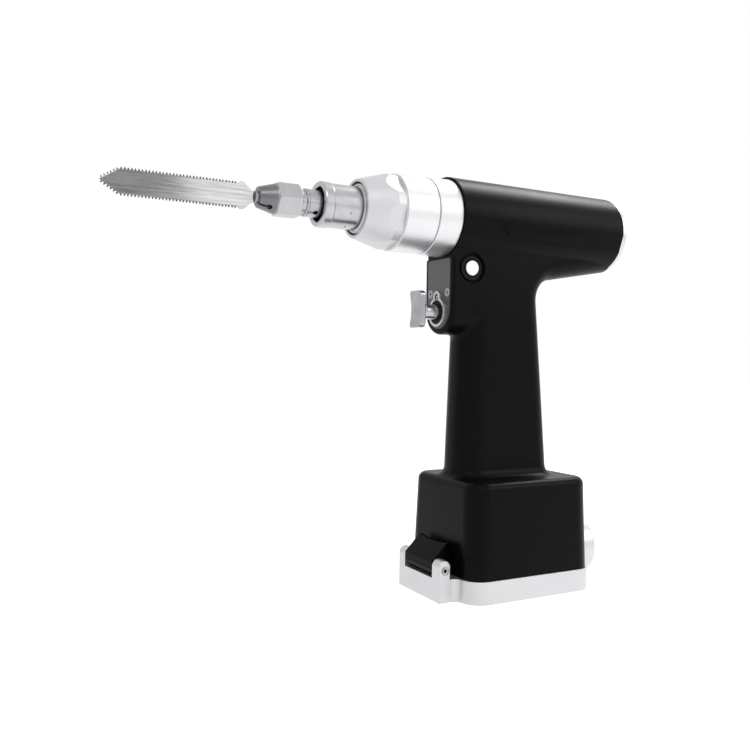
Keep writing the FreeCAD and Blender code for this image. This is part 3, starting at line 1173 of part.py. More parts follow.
def make_battery():
    inset = box_wall + battery_gap
    low = lid_floor + cushion_thickness + fit_gap
    high = box_top - box_roof - battery_gap
    rear = box_rear + box_wall + battery_rear_gap
    front = box_front - inset
    side = box_half_width - inset
    inside = side - battery_wall
    shell = rounded_block("battery_outside", (rear, front), (-side, side), (low, high),
                          battery_corner_round)
    room = rounded_block("battery_inside", (rear + battery_wall, front - battery_wall), (-inside, inside),
                         (low + battery_wall, high - battery_wall), battery_corner_round - battery_wall)
    pin_places = [(x, y) for x in (-7, 3) for y in (-5, 5)]
    holes = [bar(f"terminal_hole_{number}", "Z", high - 4, high + 1, 2.25, x=x, y=y)
             for number, (x, y) in enumerate(pin_places)]
    keep("battery_case", cut("battery_shell", shell, room, *holes))
    keep("battery_terminals", group("terminals", *[
        tube(f"terminal_{number}", "Z", high - 5, high, 2.2, 1.3, x=x, y=y)
        for number, (x, y) in enumerate(pin_places)]))
    keep("contact_pins", group("pins", *[
        bar(f"pin_{number}", "Z", high - 4, box_top - box_roof, 1.25, x=x, y=y)
        for number, (x, y) in enumerate(pin_places)]))
    level = low + battery_wall + fit_gap + cell_radius
    layer_pitch = cell_radius * 2 + 0.1
    rows = [(layer, side) for layer in (0, 1) for side in (-1, 1)]
    keep("battery_cells", group("cells", *[
        bar(f"cell_{number}", "X", rear + battery_wall + 0.8, front - battery_wall - 0.8, cell_radius,
            y=cell_spread * direction, z=level + layer_pitch * layer)
        for number, (layer, direction) in enumerate(rows)]))
    keep("battery_cushion", block("cushion", (rear + 6, front - 6), (-side + 8, side - 8),
                                  (lid_floor, lid_floor + cushion_thickness)))


def lid_corners():
    """Half outline of the lid, from the front's middle round to the rear's middle, as edges."""
    turn = math.radians(lid_shoulder_turn.value)
    round_ = lid_shoulder_round.value
    nose = lid_nose_half_width.value
    side = lid_half_width.value
    start = Vector(lid_shoulder.value, side, 0)
    centre = start - Vector(0, round_, 0)
    half = centre + Vector(round_ * math.sin(turn / 2), round_ * math.cos(turn / 2), 0)
    meet = centre + Vector(round_ * math.sin(turn), round_ * math.cos(turn), 0)
    hollow = (meet.y - nose) / (1 - math.cos(turn))
    hollow_centre = Vector(meet.x + hollow * math.sin(turn), nose + hollow, 0)
    hollow_half = hollow_centre - Vector(hollow * math.sin(turn / 2), hollow * math.cos(turn / 2), 0)
    hollow_end = Vector(hollow_centre.x, nose, 0)
    rear = lid_rear.value
    corner = lid_rear_round.value
    arc_start = Vector(rear + corner, side, 0)
    arc_half = Vector(rear + corner * (1 - math.sqrt(0.5)), side - corner * (1 - math.sqrt(0.5)), 0)
    arc_end = Vector(rear, side - corner, 0)
    return [
        Part.LineSegment(Vector(lid_front.value, nose, 0), hollow_end).toShape(),
        Part.Arc(hollow_end, hollow_half, meet).toShape(),
        Part.Arc(meet, half, start).toShape(),
        Part.LineSegment(start, arc_start).toShape(),
        Part.Arc(arc_start, arc_half, arc_end).toShape(),
    ]


def make_lid():
    """Battery lid: a tray with two ears in front for the latch."""
    half = lid_corners()
    other = [edge.mirror(Vector(), Vector(0, 1, 0)) for edge in half]
    rear_y = lid_half_width.value - lid_rear_round.value
    rear = Part.LineSegment(Vector(lid_rear.value, rear_y, 0), Vector(lid_rear.value, -rear_y, 0)).toShape()
    nose = lid_nose_half_width.value
    front = Part.LineSegment(Vector(lid_front.value, -nose, 0), Vector(lid_front.value, nose, 0)).toShape()
    wire = Part.Wire(Part.__sortEdges__(half + [rear] + other + [front]))
    blank = Part.Face(wire).extrude(Vector(0, 0, lid_height.value))
    lower = [edge for edge in blank.Edges if abs(middle(edge).z) < 0.01]
    upright = [edge for edge in blank.Edges
               if near(middle(edge).x, lid_front) and near(middle(edge).z, lid_height / 2)]
    blank = blank.makeFillet(lid_edge_round.value, lower + upright)
    form = document.addObject("Part::Feature", "lid_form")
    form.Shape = blank
    place(form)
    ears = []
    ear_round = ear_depth / 2
    for side, inner, outer in (("left", ear_inside, lid_nose_half_width),
                               ("right", -lid_nose_half_width, -ear_inside)):
        body = new_body(f"ear_{side}")
        outline = polygon(body, f"ear_outline_{side}", "XY_Plane", [
            (lid_front - ear_depth, inner), (lid_front, inner), (lid_front, outer),
            (lid_front - ear_depth, outer)], lid_height - 2)
        ear = raised(body, f"ear_block_{side}", outline, ear_top - lid_height + 2)
        ear = rounded(body, ear, f"ear_round_{side}", ear_round - 0.05, lambda point:
                      near(point.z, ear_top)
                      and (near(point.x, lid_front) or near(point.x, lid_front - ear_depth)))
        rounded(body, ear, f"ear_edges_{side}", lid_edge_round, lambda point:
                near(abs(point.y), lid_nose_half_width) and point.z > lid_height.value)
        ears.append(body)
    tray_side = lid_half_width - lid_wall
    tray = block("tray", (lid_rear + lid_wall, box_front - box_wall), (-tray_side, tray_side),
                 (lid_floor, lid_height + 1))
    pin_hole = bar("latch_pin_hole", "Y", -lid_half_width, lid_half_width, latch_pin_radius + fit_gap,
                   x=latch_x, z=latch_axis_height)
    inner = groove_inset + groove_width
    groove = rim_ring("seal_groove", groove_inset, inner, lid_height - groove_depth, lid_height + 1)
    sinkings = [bar(f"ear_sinking_{side}", "Y", start, start + ear_sink_depth + 2, ear_sink_radius,
                    x=latch_x, z=latch_axis_height)
                for side, start in (("left", lid_nose_half_width - ear_sink_depth),
                                    ("right", -lid_nose_half_width - 2))]
    keep("battery_lid", cut("lid", join("lid_with_ears", form, *ears), tray, pin_hole, groove,
                            *sinkings))
    keep("lid_seal", rim_ring("seal_ring", groove_inset + fit_gap, inner - fit_gap,
                              lid_height - groove_depth + fit_gap, box_bottom - 0.03))


def rim_ring(name, outer_inset, inner_inset, low, high):
    """A ring that follows the battery box's rim, between two distances inside it."""
    walls = []
    for part, inset, room in (("outside", outer_inset, 0), ("inside", inner_inset, 1)):
        side = box_half_width - inset
        walls.append(rounded_block(f"{name}_{part}", (box_rear + inset, box_front - inset), (-side, side),
                                   (low - room, high + room), box_corner_round - inset))
    return cut(name, *walls)


def make_latch():
    """Thumb lever on a hollow pin between the ears, with its torsion spring."""
    side = ear_inside - 0.3
    ridge_x = lid_front - lever_ridge_back
    front_x = latch_x + lever_round - 0.1
    rear_x = box_front + 0.7
    profile = prism("lever_profile", "XZ_Plane", [
        (latch_x, latch_axis_height), (front_x, latch_axis_height), (front_x, lever_brow_height),
        (ridge_x + 0.9, lever_ridge_height), (ridge_x, lever_ridge_height), (rear_x, latch_axis_height + 1)],
        side * 2, both_ways=True)
    hub = bar("lever_hub", "Y", -side, side, lever_round, x=latch_x, z=latch_axis_height)
    saddle = bar("lever_saddle", "X", lid_front - 20, lid_front + 5, lever_saddle_radius,
                 z=lever_ridge_height + lever_saddle_radius - lever_saddle_depth)
    pin_hole = bar("lever_pin_hole", "Y", -side - 1, side + 1, latch_pin_radius + running_gap,
                   x=latch_x, z=latch_axis_height)
    spring_room = bar("lever_spring_room", "Y", -4, 4, latch_pin_radius + 1.1, x=latch_x, z=latch_axis_height)
    keep("latch_lever", cut("lever", join("lever_form", profile, hub), saddle, pin_hole, spring_room))
    keep("latch_pin", tube("latch_pin_form", "Y", -lid_nose_half_width + 0.1, lid_nose_half_width - 0.1,
                           latch_pin_radius, latch_pin_bore, x=latch_x, z=latch_axis_height))
    keep("latch_spring", coil("latch_coil", "Y", -3.6, 3.6, latch_pin_radius + 0.5, 6,
                              x=latch_x, z=latch_axis_height))


def make_lid_knob():
    back = knob_front - knob_thickness
    knob = turned("knob_form", "X", [
        (back, 0), (back, knob_radius - 5), (back + 0.8, knob_radius - 4.4), (back, knob_radius - 3.8),
        (back, knob_radius - knob_rim_round),
        (back + knob_rim_round * 0.3, knob_radius - knob_rim_round * 0.3),
        (back + knob_rim_round, knob_radius), (knob_front - 0.6, knob_radius),
        (knob_front, knob_radius - 0.6), (knob_front, knob_shaft_radius + fit_gap),
        (back + 4, knob_shaft_radius + fit_gap), (back + 4, 0)], z=knob_height)
    keep("lid_knob", knob)
    inner = box_rear + box_wall
    keep("knob_shaft", bar("knob_shaft_form", "X", back + 4 + fit_gap, inner + 2.4, knob_shaft_radius,
                           z=knob_height))
    disc = bar("cam_disc", "X", inner + 0.3, inner + 2.2, cam_radius, z=knob_height)
    bore = bar("cam_bore", "X", inner - 1, inner + 4, knob_shaft_radius + fit_gap / 2, z=knob_height)
    flat = block("cam_flat", (inner - 1, inner + 4), (-cam_radius - 1, cam_radius + 1),
                 (knob_height + cam_flat_reach, knob_height + cam_radius + 1))
    keep("knob_cam", cut("cam", disc, bore, flat))


make_casing()
make_rear_cap()
make_motor()
make_pinion()
make_crank()
make_gear_frame()
make_plunger(make_yoke())
make_bushes()
make_nose()
make_collar()
make_sleeve()
make_chuck()
make_blade()
make_trigger(make_trigger_plate())
make_side_button()
make_grip_electronics()
make_battery()
make_lid()
make_latch()
make_lid_knob()
document.recompute()

for item in document.Objects:
    if {"Invalid", "Error"} & set(item.State):
        raise RuntimeError(f"{item.Label} failed: {item.State}")
for name, piece in nodes.items():
    if piece.Shape.isNull() or not piece.Shape.isValid() or not piece.Shape.Solids:
        raise RuntimeError(f"{name} has no sound solid")
os.makedirs("parts", exist_ok=True)
for name, piece in nodes.items():
    piece.Shape.exportStep(f"parts/{name}.step")
    print(name, len(piece.Shape.Solids), round(piece.Shape.Volume, 1))
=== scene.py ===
"""Surgical reciprocating saw: finishes, fine pieces, studio and camera."""

from __future__ import annotations

import json
import logging
import math
from dataclasses import dataclass
from enum import Enum
from typing import Any

import bmesh
import bpy
from mathutils import Matrix, Vector

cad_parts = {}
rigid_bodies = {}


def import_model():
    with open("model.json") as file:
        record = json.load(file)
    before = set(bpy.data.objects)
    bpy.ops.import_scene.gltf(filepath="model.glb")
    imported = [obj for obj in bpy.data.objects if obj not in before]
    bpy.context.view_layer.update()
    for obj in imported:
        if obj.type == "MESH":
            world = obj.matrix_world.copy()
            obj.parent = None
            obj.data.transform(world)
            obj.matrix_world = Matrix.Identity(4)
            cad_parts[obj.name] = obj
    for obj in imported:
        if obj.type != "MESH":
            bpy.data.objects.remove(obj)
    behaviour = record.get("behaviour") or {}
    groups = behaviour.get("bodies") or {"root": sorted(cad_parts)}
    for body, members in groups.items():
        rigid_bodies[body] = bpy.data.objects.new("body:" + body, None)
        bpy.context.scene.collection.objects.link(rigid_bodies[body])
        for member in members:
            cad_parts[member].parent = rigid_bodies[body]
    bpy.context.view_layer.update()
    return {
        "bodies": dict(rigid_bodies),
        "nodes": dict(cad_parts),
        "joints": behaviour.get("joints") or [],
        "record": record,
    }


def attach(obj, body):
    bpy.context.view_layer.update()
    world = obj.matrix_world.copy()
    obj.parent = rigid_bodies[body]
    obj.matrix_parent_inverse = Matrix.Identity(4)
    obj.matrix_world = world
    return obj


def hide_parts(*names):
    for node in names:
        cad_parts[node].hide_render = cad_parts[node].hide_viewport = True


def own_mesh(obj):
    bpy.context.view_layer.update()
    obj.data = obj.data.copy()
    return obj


LOG = logging.getLogger("saw")
MM = 0.001
AXIS_HEIGHT = 202.7 * MM
COLLET_FRONT = 142.2 * MM
BLADE_REACH = 71.0 * MM
BLADE_TIP_LENGTH = 8.5 * MM
BLADE_ROOT_HALF = 5.35 * MM


class Around(Enum):
    """The axis that a turned piece or a wire coil runs along."""

    X = "x"
    Y = "y"
    Z = "z"

    def upright_to_axis(self) -> Matrix:
        """Turn a shape that stands along Z so that it lies along this axis."""
        turns = {
            Around.X: Matrix.Rotation(math.pi / 2, 4, "Y"),
            Around.Y: Matrix.Rotation(-math.pi / 2, 4, "X"),
            Around.Z: Matrix.Identity(4),
        }
        return turns[self]


def linear(code: str) -> tuple[float, float, float, float]:
    """Turn an sRGB hex code into the linear colour that the shader takes.

    Args:
        code: Six hex digits with a leading hash.

    Returns:
        Red, green, blue and full alpha, all linear.
    """
    parts = [int(code[start:start + 2], 16) / 255 for start in (1, 3, 5)]
    red, green, blue = (
        part / 12.92 if part <= 0.04045 else ((part + 0.055) / 1.055) ** 2.4 for part in parts
    )
    return red, green, blue, 1.0


def add_node(
    tree: bpy.types.NodeTree,
    kind: str,
    values: dict[Any, Any] | None = None,
    links: dict[Any, bpy.types.NodeSocket] | None = None,
    **settings: Any,
) -> bpy.types.Node:
    """Add a node with its settings, its socket values and its incoming links.

    Args:
        tree: The tree that takes the node.
        kind: The node's type name.
        values: Socket name or index to its default value.
        links: Socket name or index to the output that feeds it.
        **settings: Attributes of the node itself, set first.

    Returns:
        The new node.
    """
    node = tree.nodes.new(kind)
    for name, value in settings.items():
        setattr(node, name, value)
    for name, value in (values or {}).items():
        node.inputs[name].default_value = value
    for name, source in (links or {}).items():
        tree.links.new(source, node.inputs[name])
    return node


class Finish:
    """Shared steps of the finishes: a shader, object coordinates and a bump chain."""

    name: str

    def material(self) -> bpy.types.Material:
        """Return the finish's material, made on its first use."""
        return bpy.data.materials.get(self.name) or self.build()

    def build(self) -> bpy.types.Material:
        """Make the material; each finish says how."""
        raise NotImplementedError

    def start(self, **shader: Any) -> tuple[bpy.types.Material, bpy.types.NodeTree, bpy.types.Node]:
        """Make an empty material with a shader joined to its output.

        Args:
            **shader: Values of the Principled shader, with underscores for spaces.

        Returns:
            The material, its tree and the shader node.
        """
        material = bpy.data.materials.new(self.name)
        material.use_nodes = True
        tree = material.node_tree
        tree.nodes.clear()
        values = {name.replace("_", " "): value for name, value in shader.items()}
        surface = add_node(tree, "ShaderNodeBsdfPrincipled", values)
        add_node(tree, "ShaderNodeOutputMaterial", links={"Surface": surface.outputs[0]})
        return material, tree, surface

    def pattern(
        self,
        tree: bpy.types.NodeTree,
        size_mm: tuple[float, float, float],
        detail: float = 2.0,
    ) -> bpy.types.NodeSocket:
        """Make noise on object coordinates with its own grain size along each axis.

        Args:
            tree: The material's tree.
            size_mm: Grain size along X, Y and Z in millimetres.
            detail: Octaves of finer grain.

        Returns:
            The noise factor.
        """
        place = add_node(tree, "ShaderNodeTexCoord")
        scale = tuple(1000 / size for size in size_mm)
        spread = add_node(tree, "ShaderNodeMapping", {"Scale": scale},
                          {"Vector": place.outputs["Object"]})
        noise = add_node(tree, "ShaderNodeTexNoise", {"Scale": 1.0, "Detail": detail},
                         {"Vector": spread.outputs[0]})
        return noise.outputs[0]

    def ramp(
        self,
        tree: bpy.types.NodeTree,
        factor: bpy.types.NodeSocket,
        low: tuple[float, float, float, float],
        high: tuple[float, float, float, float],
        span: tuple[float, float] = (0.3, 0.7),
    ) -> bpy.types.NodeSocket:
        """Spread a factor between two colours.

        Args:
            tree: The material's tree.
            factor: What drives the ramp.
            low: Colour at the lower end.
            high: Colour at the upper end.
            span: Where the two ends lie.

        Returns:
            The colour.
        """
        node = add_node(tree, "ShaderNodeValToRGB", links={"Fac": factor})
        stops = node.color_ramp.elements
        stops[0].position, stops[1].position = span
        stops[0].color, stops[1].color = low, high
        return node.outputs[0]

    def relief(
        self,
        tree: bpy.types.NodeTree,
        surface: bpy.types.Node,
        height: bpy.types.NodeSocket,
        depth_mm: float,
        edge_mm: float = 0.0,
    ) -> None:
        """Give the shader a bump over softly broken edges.

        Args:
            tree: The material's tree.
            surface: The shader node.
            height: What drives the bump.
            depth_mm: Depth of the relief in millimetres.
            edge_mm: Radius to which sharp edges look broken, or 0.
        """
        bump = add_node(tree, "ShaderNodeBump", {"Strength": 1.0, "Distance": depth_mm * MM},
                        {"Height": height})
        if edge_mm:
            bevel = add_node(tree, "ShaderNodeBevel", {"Radius": edge_mm * MM}, samples=6)
            tree.links.new(bevel.outputs[0], bump.inputs["Normal"])
        tree.links.new(bump.outputs[0], surface.inputs["Normal"])

    def tint(
        self,
        tree: bpy.types.NodeTree,
        surface: bpy.types.Node,
        factor: bpy.types.NodeSocket,
        low: str,
        high: str,
    ) -> None:
        """Colour the shader between two sRGB hex codes, as a factor says."""
        colour = self.ramp(tree, factor, linear(low), linear(high))
        tree.links.new(colour, surface.inputs["Base Color"])

    def shade_tone(
        self,
        tree: bpy.types.NodeTree,
        surface: bpy.types.Node,
        tone: bpy.types.NodeSocket,
        share: bpy.types.NodeSocket,
    ) -> None:
        """Colour the shader with a tone that a share makes darker or lighter."""
        colour = add_node(tree, "ShaderNodeVectorMath", links={0: tone}, operation="SCALE")
        tree.links.new(share, colour.inputs["Scale"])
        tree.links.new(colour.outputs[0], surface.inputs["Base Color"])

    def polish(
        self,
        tree: bpy.types.NodeTree,
        surface: bpy.types.Node,
        factor: bpy.types.NodeSocket,
        low: float,
        high: float,
    ) -> None:
        """Spread the shader's roughness between two values, as a factor says."""
        gloss = add_node(tree, "ShaderNodeMapRange", {"To Min": low, "To Max": high},
                         {"Value": factor})
        tree.links.new(gloss.outputs[0], surface.inputs["Roughness"])

    def place_parts(self, tree: bpy.types.NodeTree) -> bpy.types.Node:
        """Return a node whose X, Y and Z outputs are the object coordinates."""
        place = add_node(tree, "ShaderNodeTexCoord")
        return add_node(tree, "ShaderNodeSeparateXYZ", links={0: place.outputs["Object"]})


@dataclass(frozen=True)
class PowderCoat(Finish):
    """Aluminium casting under black powder coat: deep black with a fine grain that softens
    every highlight into a grey sheen."""

    name: str
    colour: str = "#050506"
    worn: str = "#0d0d0e"
    grain_mm: float = 0.5
    grain_depth_mm: float = 0.05
    roughness: float = 0.33
    specular: float = 0.075
    drift_mm: float = 24.0
    edge_mm: float = 0.6

    def build(self) -> bpy.types.Material:
        """Make the coat: grain in the relief and the tone, slow drift in the gloss."""
        material, tree, surface = self.start(IOR=1.45, Specular_IOR_Level=self.specular)
        grain = self.pattern(tree, (self.grain_mm,) * 3, 3.0)
        drift = self.pattern(tree, (self.drift_mm,) * 3, 2.0)
        self.tint(tree, surface, grain, self.colour, self.worn)
        self.polish(tree, surface, drift, self.roughness - 0.05, self.roughness + 0.07)
        self.relief(tree, surface, grain, self.grain_depth_mm, self.edge_mm)
        return material


@dataclass(frozen=True)
class AnodisedAluminium(Finish):
    """Bead-blasted and clear-anodised aluminium: almost white, satin, with a faint dry grain
    that a lathe's rings cross on the turned pieces."""

    name: str
    colour: str
    shade: str
    roughness: float = 0.38
    ring_mm: float = 0.35
    along: Around | None = Around.X
    metallic: float = 0.88
    grain_mm: float = 0.30
    round_mm: float = 400.0
    blotch_mm: float = 9.0
    depth_mm: float = 0.012
    edge_mm: float = 0.22

    def build(self) -> bpy.types.Material:
        """Make the anodised skin, with turning rings where the piece is turned."""
        material, tree, surface = self.start(Metallic=self.metallic)
        sizes = [self.grain_mm if self.along is None else self.round_mm] * 3
        if self.along is not None:
            sizes[list(Around).index(self.along)] = self.ring_mm
        rings = self.pattern(tree, tuple(sizes), 2.0)
        blotch = self.pattern(tree, (self.blotch_mm,) * 3, 3.0)
        self.tint(tree, surface, blotch, self.shade, self.colour)
        self.polish(tree, surface, rings, self.roughness - 0.06, self.roughness + 0.06)
        self.relief(tree, surface, rings, self.depth_mm, self.edge_mm)
        return material


@dataclass(frozen=True)
class TurnedSteel(Finish):
    """Stainless steel from the lathe, fine-ground: cool mid grey with a satin line running
    round the piece."""

    name: str
    colour: str = "#b9b9bb"
    shade: str = "#9c9c9f"
    roughness: float = 0.27
    line_mm: tuple[float, float, float] = (0.22, 300.0, 300.0)
    line_depth_mm: float = 0.008
    edge_mm: float = 0.18

    def build(self) -> bpy.types.Material:
        """Make the steel: fine lines in relief, gloss and tone."""
        material, tree, surface = self.start(Metallic=1.0)
        lines = self.pattern(tree, self.line_mm, 3.0)
        self.tint(tree, surface, lines, self.shade, self.colour)
        self.polish(tree, surface, lines, self.roughness - 0.05, self.roughness + 0.09)
        self.relief(tree, surface, lines, self.line_depth_mm, self.edge_mm)
        return material


@dataclass(frozen=True)
class ChuckSteel(Finish):
    """Hardened stainless steel: wrench faces ground bright, and in front of them a cone streaky
    from the lathe, with painted shade that makes the cone darker than the faces."""

    name: str
    ground: str = "#b4b4b7"
    # The cone's tone below is painted shade, darker than the steel's own ground tone.
    turned: str = "#77777b"
    cone_from: float = 131.5 * MM
    change: float = 1.2 * MM
    roughness: float = 0.27
    line_mm: tuple[float, float, float] = (0.45, 300.0, 300.0)
    line_depth_mm: float = 0.004
    edge_mm: float = 0.25

    def build(self) -> bpy.types.Material:
        """Make the steel: painted shade darkens it towards the cone, fine lines round it."""
        material, tree, surface = self.start(Metallic=1.0)
        parts = self.place_parts(tree)
        # Painted shade: the tone ramps from the ground steel to the darker cone tone past cone_from
        # along X.
        along = add_node(tree, "ShaderNodeMapRange",
                         {"From Min": self.cone_from, "From Max": self.cone_from + self.change},
                         {"Value": parts.outputs["X"]})
        tone = self.ramp(tree, along.outputs[0], linear(self.ground), linear(self.turned), (0.0, 1.0))
        streak = self.pattern(tree, self.line_mm, 3.0)
        dim = add_node(tree, "ShaderNodeMapRange", {"To Min": 0.72, "To Max": 1.12}, {"Value": streak})
        self.shade_tone(tree, surface, tone, dim.outputs[0])
        self.polish(tree, surface, streak, self.roughness - 0.05, self.roughness + 0.09)
        self.relief(tree, surface, streak, self.line_depth_mm, self.edge_mm)
        return material


@dataclass(frozen=True)
class PlateWithBoss(Finish):
    """Grey anodised plate whose boss is machined bright after it: the plate stays dull while
    the boss's rim catches the light."""

    name: str
    plate: str = "#5e5e60"
    boss: str = "#c2c2c4"
    plate_face: float = 36.85 * MM
    change: float = 0.1 * MM
    plate_roughness: float = 0.42
    boss_roughness: float = 0.26
    grain_mm: float = 0.3
    grain_depth_mm: float = 0.01
    edge_mm: float = 0.35

    def build(self) -> bpy.types.Material:
        """Make the plate: tone and gloss change at its face."""
        material, tree, surface = self.start(Metallic=0.85)
        parts = self.place_parts(tree)
        ahead = add_node(tree, "ShaderNodeMapRange",
                         {"From Min": self.plate_face, "From Max": self.plate_face + self.change},
                         {"Value": parts.outputs["X"]})
        colour = self.ramp(tree, ahead.outputs[0], linear(self.plate), linear(self.boss), (0.0, 1.0))
        tree.links.new(colour, surface.inputs["Base Color"])
        self.polish(tree, surface, ahead.outputs[0], self.plate_roughness, self.boss_roughness)
        grain = self.pattern(tree, (self.grain_mm,) * 3, 2.0)
        self.relief(tree, surface, grain, self.grain_depth_mm, self.edge_mm)
        return material


@dataclass(frozen=True)
class GroundBladeSteel(Finish):
    """Spring-hard strip steel, surface-ground along its length: mid grey with long fine streaks,
    and painted shade that makes the teeth darker than the flats."""

    name: str
    light: str = "#949494"
    dark: str = "#727273"
    first_tooth: float = 150.2 * MM
    # Share of the steel's tone left on the teeth: painted shade.
    tooth_painted_shade: float = 0.18
    streak_mm: tuple[float, float, float] = (24.0, 8.0, 0.9)
    scratch_mm: tuple[float, float, float] = (9.0, 4.0, 0.2)
    scratch_depth_mm: float = 0.001

    def painted_tooth_shade_mask(self, tree: bpy.types.NodeTree) -> bpy.types.NodeSocket:
        """Return the mask of the painted shade: 0 on the flats and 1 on the teeth, along the edges and
        round the tip.
        """
        parts = self.place_parts(tree)
        rise = add_node(tree, "ShaderNodeMath", {1: AXIS_HEIGHT}, {0: parts.outputs["Z"]},
                        operation="SUBTRACT")
        height = add_node(tree, "ShaderNodeMath", links={0: rise.outputs[0]}, operation="ABSOLUTE")
        left = add_node(tree, "ShaderNodeMath", {0: COLLET_FRONT + BLADE_REACH},
                        {1: parts.outputs["X"]}, operation="SUBTRACT")
        slant = add_node(tree, "ShaderNodeMath", {1: BLADE_ROOT_HALF / BLADE_TIP_LENGTH},
                         {0: left.outputs[0]}, operation="MULTIPLY")
        limit = add_node(tree, "ShaderNodeMath", {1: BLADE_ROOT_HALF}, {0: slant.outputs[0]},
                         operation="MINIMUM")
        over = add_node(tree, "ShaderNodeMath", links={0: height.outputs[0], 1: limit.outputs[0]},
                        operation="SUBTRACT")
        share = add_node(tree, "ShaderNodeMapRange", {"From Min": 0.05 * MM, "From Max": 0.5 * MM},
                         {"Value": over.outputs[0]})
        toothed = add_node(tree, "ShaderNodeMath", {1: self.first_tooth}, {0: parts.outputs["X"]},
                           operation="GREATER_THAN")
        both = add_node(tree, "ShaderNodeMath", links={0: share.outputs[0], 1: toothed.outputs[0]},
                        operation="MULTIPLY")
        return both.outputs[0]

    def build(self) -> bpy.types.Material:
        """Make the ground strip: fine scratches over broad streaks, painted shade on the teeth."""
        material, tree, surface = self.start(Metallic=1.0, Anisotropic=0.75)
        across = add_node(tree, "ShaderNodeCombineXYZ", {2: 1.0})
        tree.links.new(across.outputs[0], surface.inputs["Tangent"])
        streak = self.pattern(tree, self.streak_mm, 3.0)
        scratch = self.pattern(tree, self.scratch_mm, 3.0)
        both = add_node(tree, "ShaderNodeMath", {1: 0.5}, {0: streak}, operation="MULTIPLY")
        mixed = add_node(tree, "ShaderNodeMath", {1: 0.5}, {0: scratch, 2: both.outputs[0]},
                         operation="MULTIPLY_ADD")
        tone = self.ramp(tree, mixed.outputs[0], linear(self.dark), linear(self.light), (0.38, 0.62))
        # Painted shade: the teeth's tone is scaled down to the tooth share.
        dim = add_node(tree, "ShaderNodeMapRange", {"To Min": 1.0, "To Max": self.tooth_painted_shade},
                       {"Value": self.painted_tooth_shade_mask(tree)})
        self.shade_tone(tree, surface, tone, dim.outputs[0])
        self.polish(tree, surface, scratch, 0.13, 0.20)
        self.relief(tree, surface, scratch, self.scratch_depth_mm)
        return material


@dataclass(frozen=True)
class PlainMetal(Finish):
    """A honed, machined or sintered metal: one tone with a dry mottled grain."""

    name: str
    colour: str
    shade: str
    roughness: float = 0.35
    grain_mm: float = 0.8
    depth_mm: float = 0.006
    edge_mm: float = 0.12

    def build(self) -> bpy.types.Material:
        """Make the metal: mottled tone and a shallow grain."""
        material, tree, surface = self.start(Metallic=1.0, Roughness=self.roughness)
        grain = self.pattern(tree, (self.grain_mm,) * 3, 3.0)
        self.tint(tree, surface, grain, self.shade, self.colour)
        self.relief(tree, surface, grain, self.depth_mm, self.edge_mm)
        return material


@dataclass(frozen=True)
class MouldedPart(Finish):
    """Moulded rubber, nylon or lacquered board: no metal in it, an even tone with the fine
    orange-peel that a mould leaves."""

    name: str
    colour: str
    shade: str
    roughness: float = 0.5
    grain_mm: float = 0.5
    depth_mm: float = 0.012
    specular: float = 0.5
    edge_mm: float = 0.15

    def build(self) -> bpy.types.Material:
        """Make the moulding: even tone, shallow grain."""
        material, tree, surface = self.start(Roughness=self.roughness, IOR=1.5,
                                             Specular_IOR_Level=self.specular)
        grain = self.pattern(tree, (self.grain_mm,) * 3, 2.0)
        self.tint(tree, surface, grain, self.shade, self.colour)
        self.relief(tree, surface, grain, self.depth_mm, self.edge_mm)
        return material


CASTING = PowderCoat("black powder-coated casting")
LEVER_COAT = PowderCoat("black coated lever", "#050506", "#0a0a0b", 0.5, 0.015, 0.24, 0.05)
SILVER_TURNED = AnodisedAluminium("silver anodised, turned", "#dadadc", "#d6d6d8")
SILVER_COLLAR = AnodisedAluminium("silver anodised, collar", "#cfcfd1", "#cbcbcd", 0.46, along=None,
                                  metallic=0.75)
SILVER_CAP = AnodisedAluminium("silver anodised, faced", "#cdcdcf", "#c9c9cb", ring_mm=0.5)
SILVER_MILLED = AnodisedAluminium("silver anodised, blasted", "#c9c9cb", "#c6c6c8", 0.42, along=None)
PLATE_ANODISED = PlateWithBoss("grey plate with a bright boss")
STEEL_TURNED = TurnedSteel("stainless steel, turned")
STEEL_BRIGHT = TurnedSteel("stainless steel, bright", "#b6b6b8", "#a2a2a5", 0.22)
STEEL_PAD = PlainMetal("honed stainless pad", "#a8a8ab", "#9a9a9e", 0.24, 5.0)
STEEL_PLUNGER = PlainMetal("honed stainless plunger", "#acacaf", "#a2a2a6", 0.24, 4.0)
STEEL_CHUCK = ChuckSteel("stainless steel, chuck nut")
STEEL_COLLET = TurnedSteel("stainless steel, collet", "#a0a0a3", "#8c8c90", 0.26)
STEEL_BUTTON = TurnedSteel("stainless steel, faced", "#dededf", "#c6c6c9", 0.30, (300.0, 0.4, 300.0))
BLADE_STEEL = GroundBladeSteel("ground strip steel")
GEAR_STEEL = PlainMetal("hardened gear steel", "#6f6f73", "#5a5a5e", 0.30)
MOTOR_STEEL = PlainMetal("zinc-plated motor steel", "#8a8a8c", "#77777a", 0.34)
STEEL_SLEEVE = PlainMetal("honed stainless sleeve", "#b4b4b6", "#acacaf", 0.27, 4.0)
BEARING_STEEL = PlainMetal("bearing steel", "#b0b0b3", "#98989b", 0.18)
SPRING_STEEL = PlainMetal("music wire", "#9a9a9d", "#808084", 0.25)
SCREW_STEEL = PlainMetal("stainless screw steel", "#a8a8aa", "#8e8e91", 0.26)
BRONZE = PlainMetal("sintered bearing bronze", "#b4885a", "#94683f", 0.45)
BRASS = PlainMetal("contact brass", "#d9b36a", "#c29a50", 0.25)
COPPER = PlainMetal("enamelled copper wire", "#a8562e", "#8c4220", 0.35, 0.3)
MAGNET = PlainMetal("sintered magnet", "#5a5a5c", "#47474a", 0.4)
STATOR_IRON = PlainMetal("stacked stator iron", "#4c4c50", "#3c3c40", 0.42, 0.35)
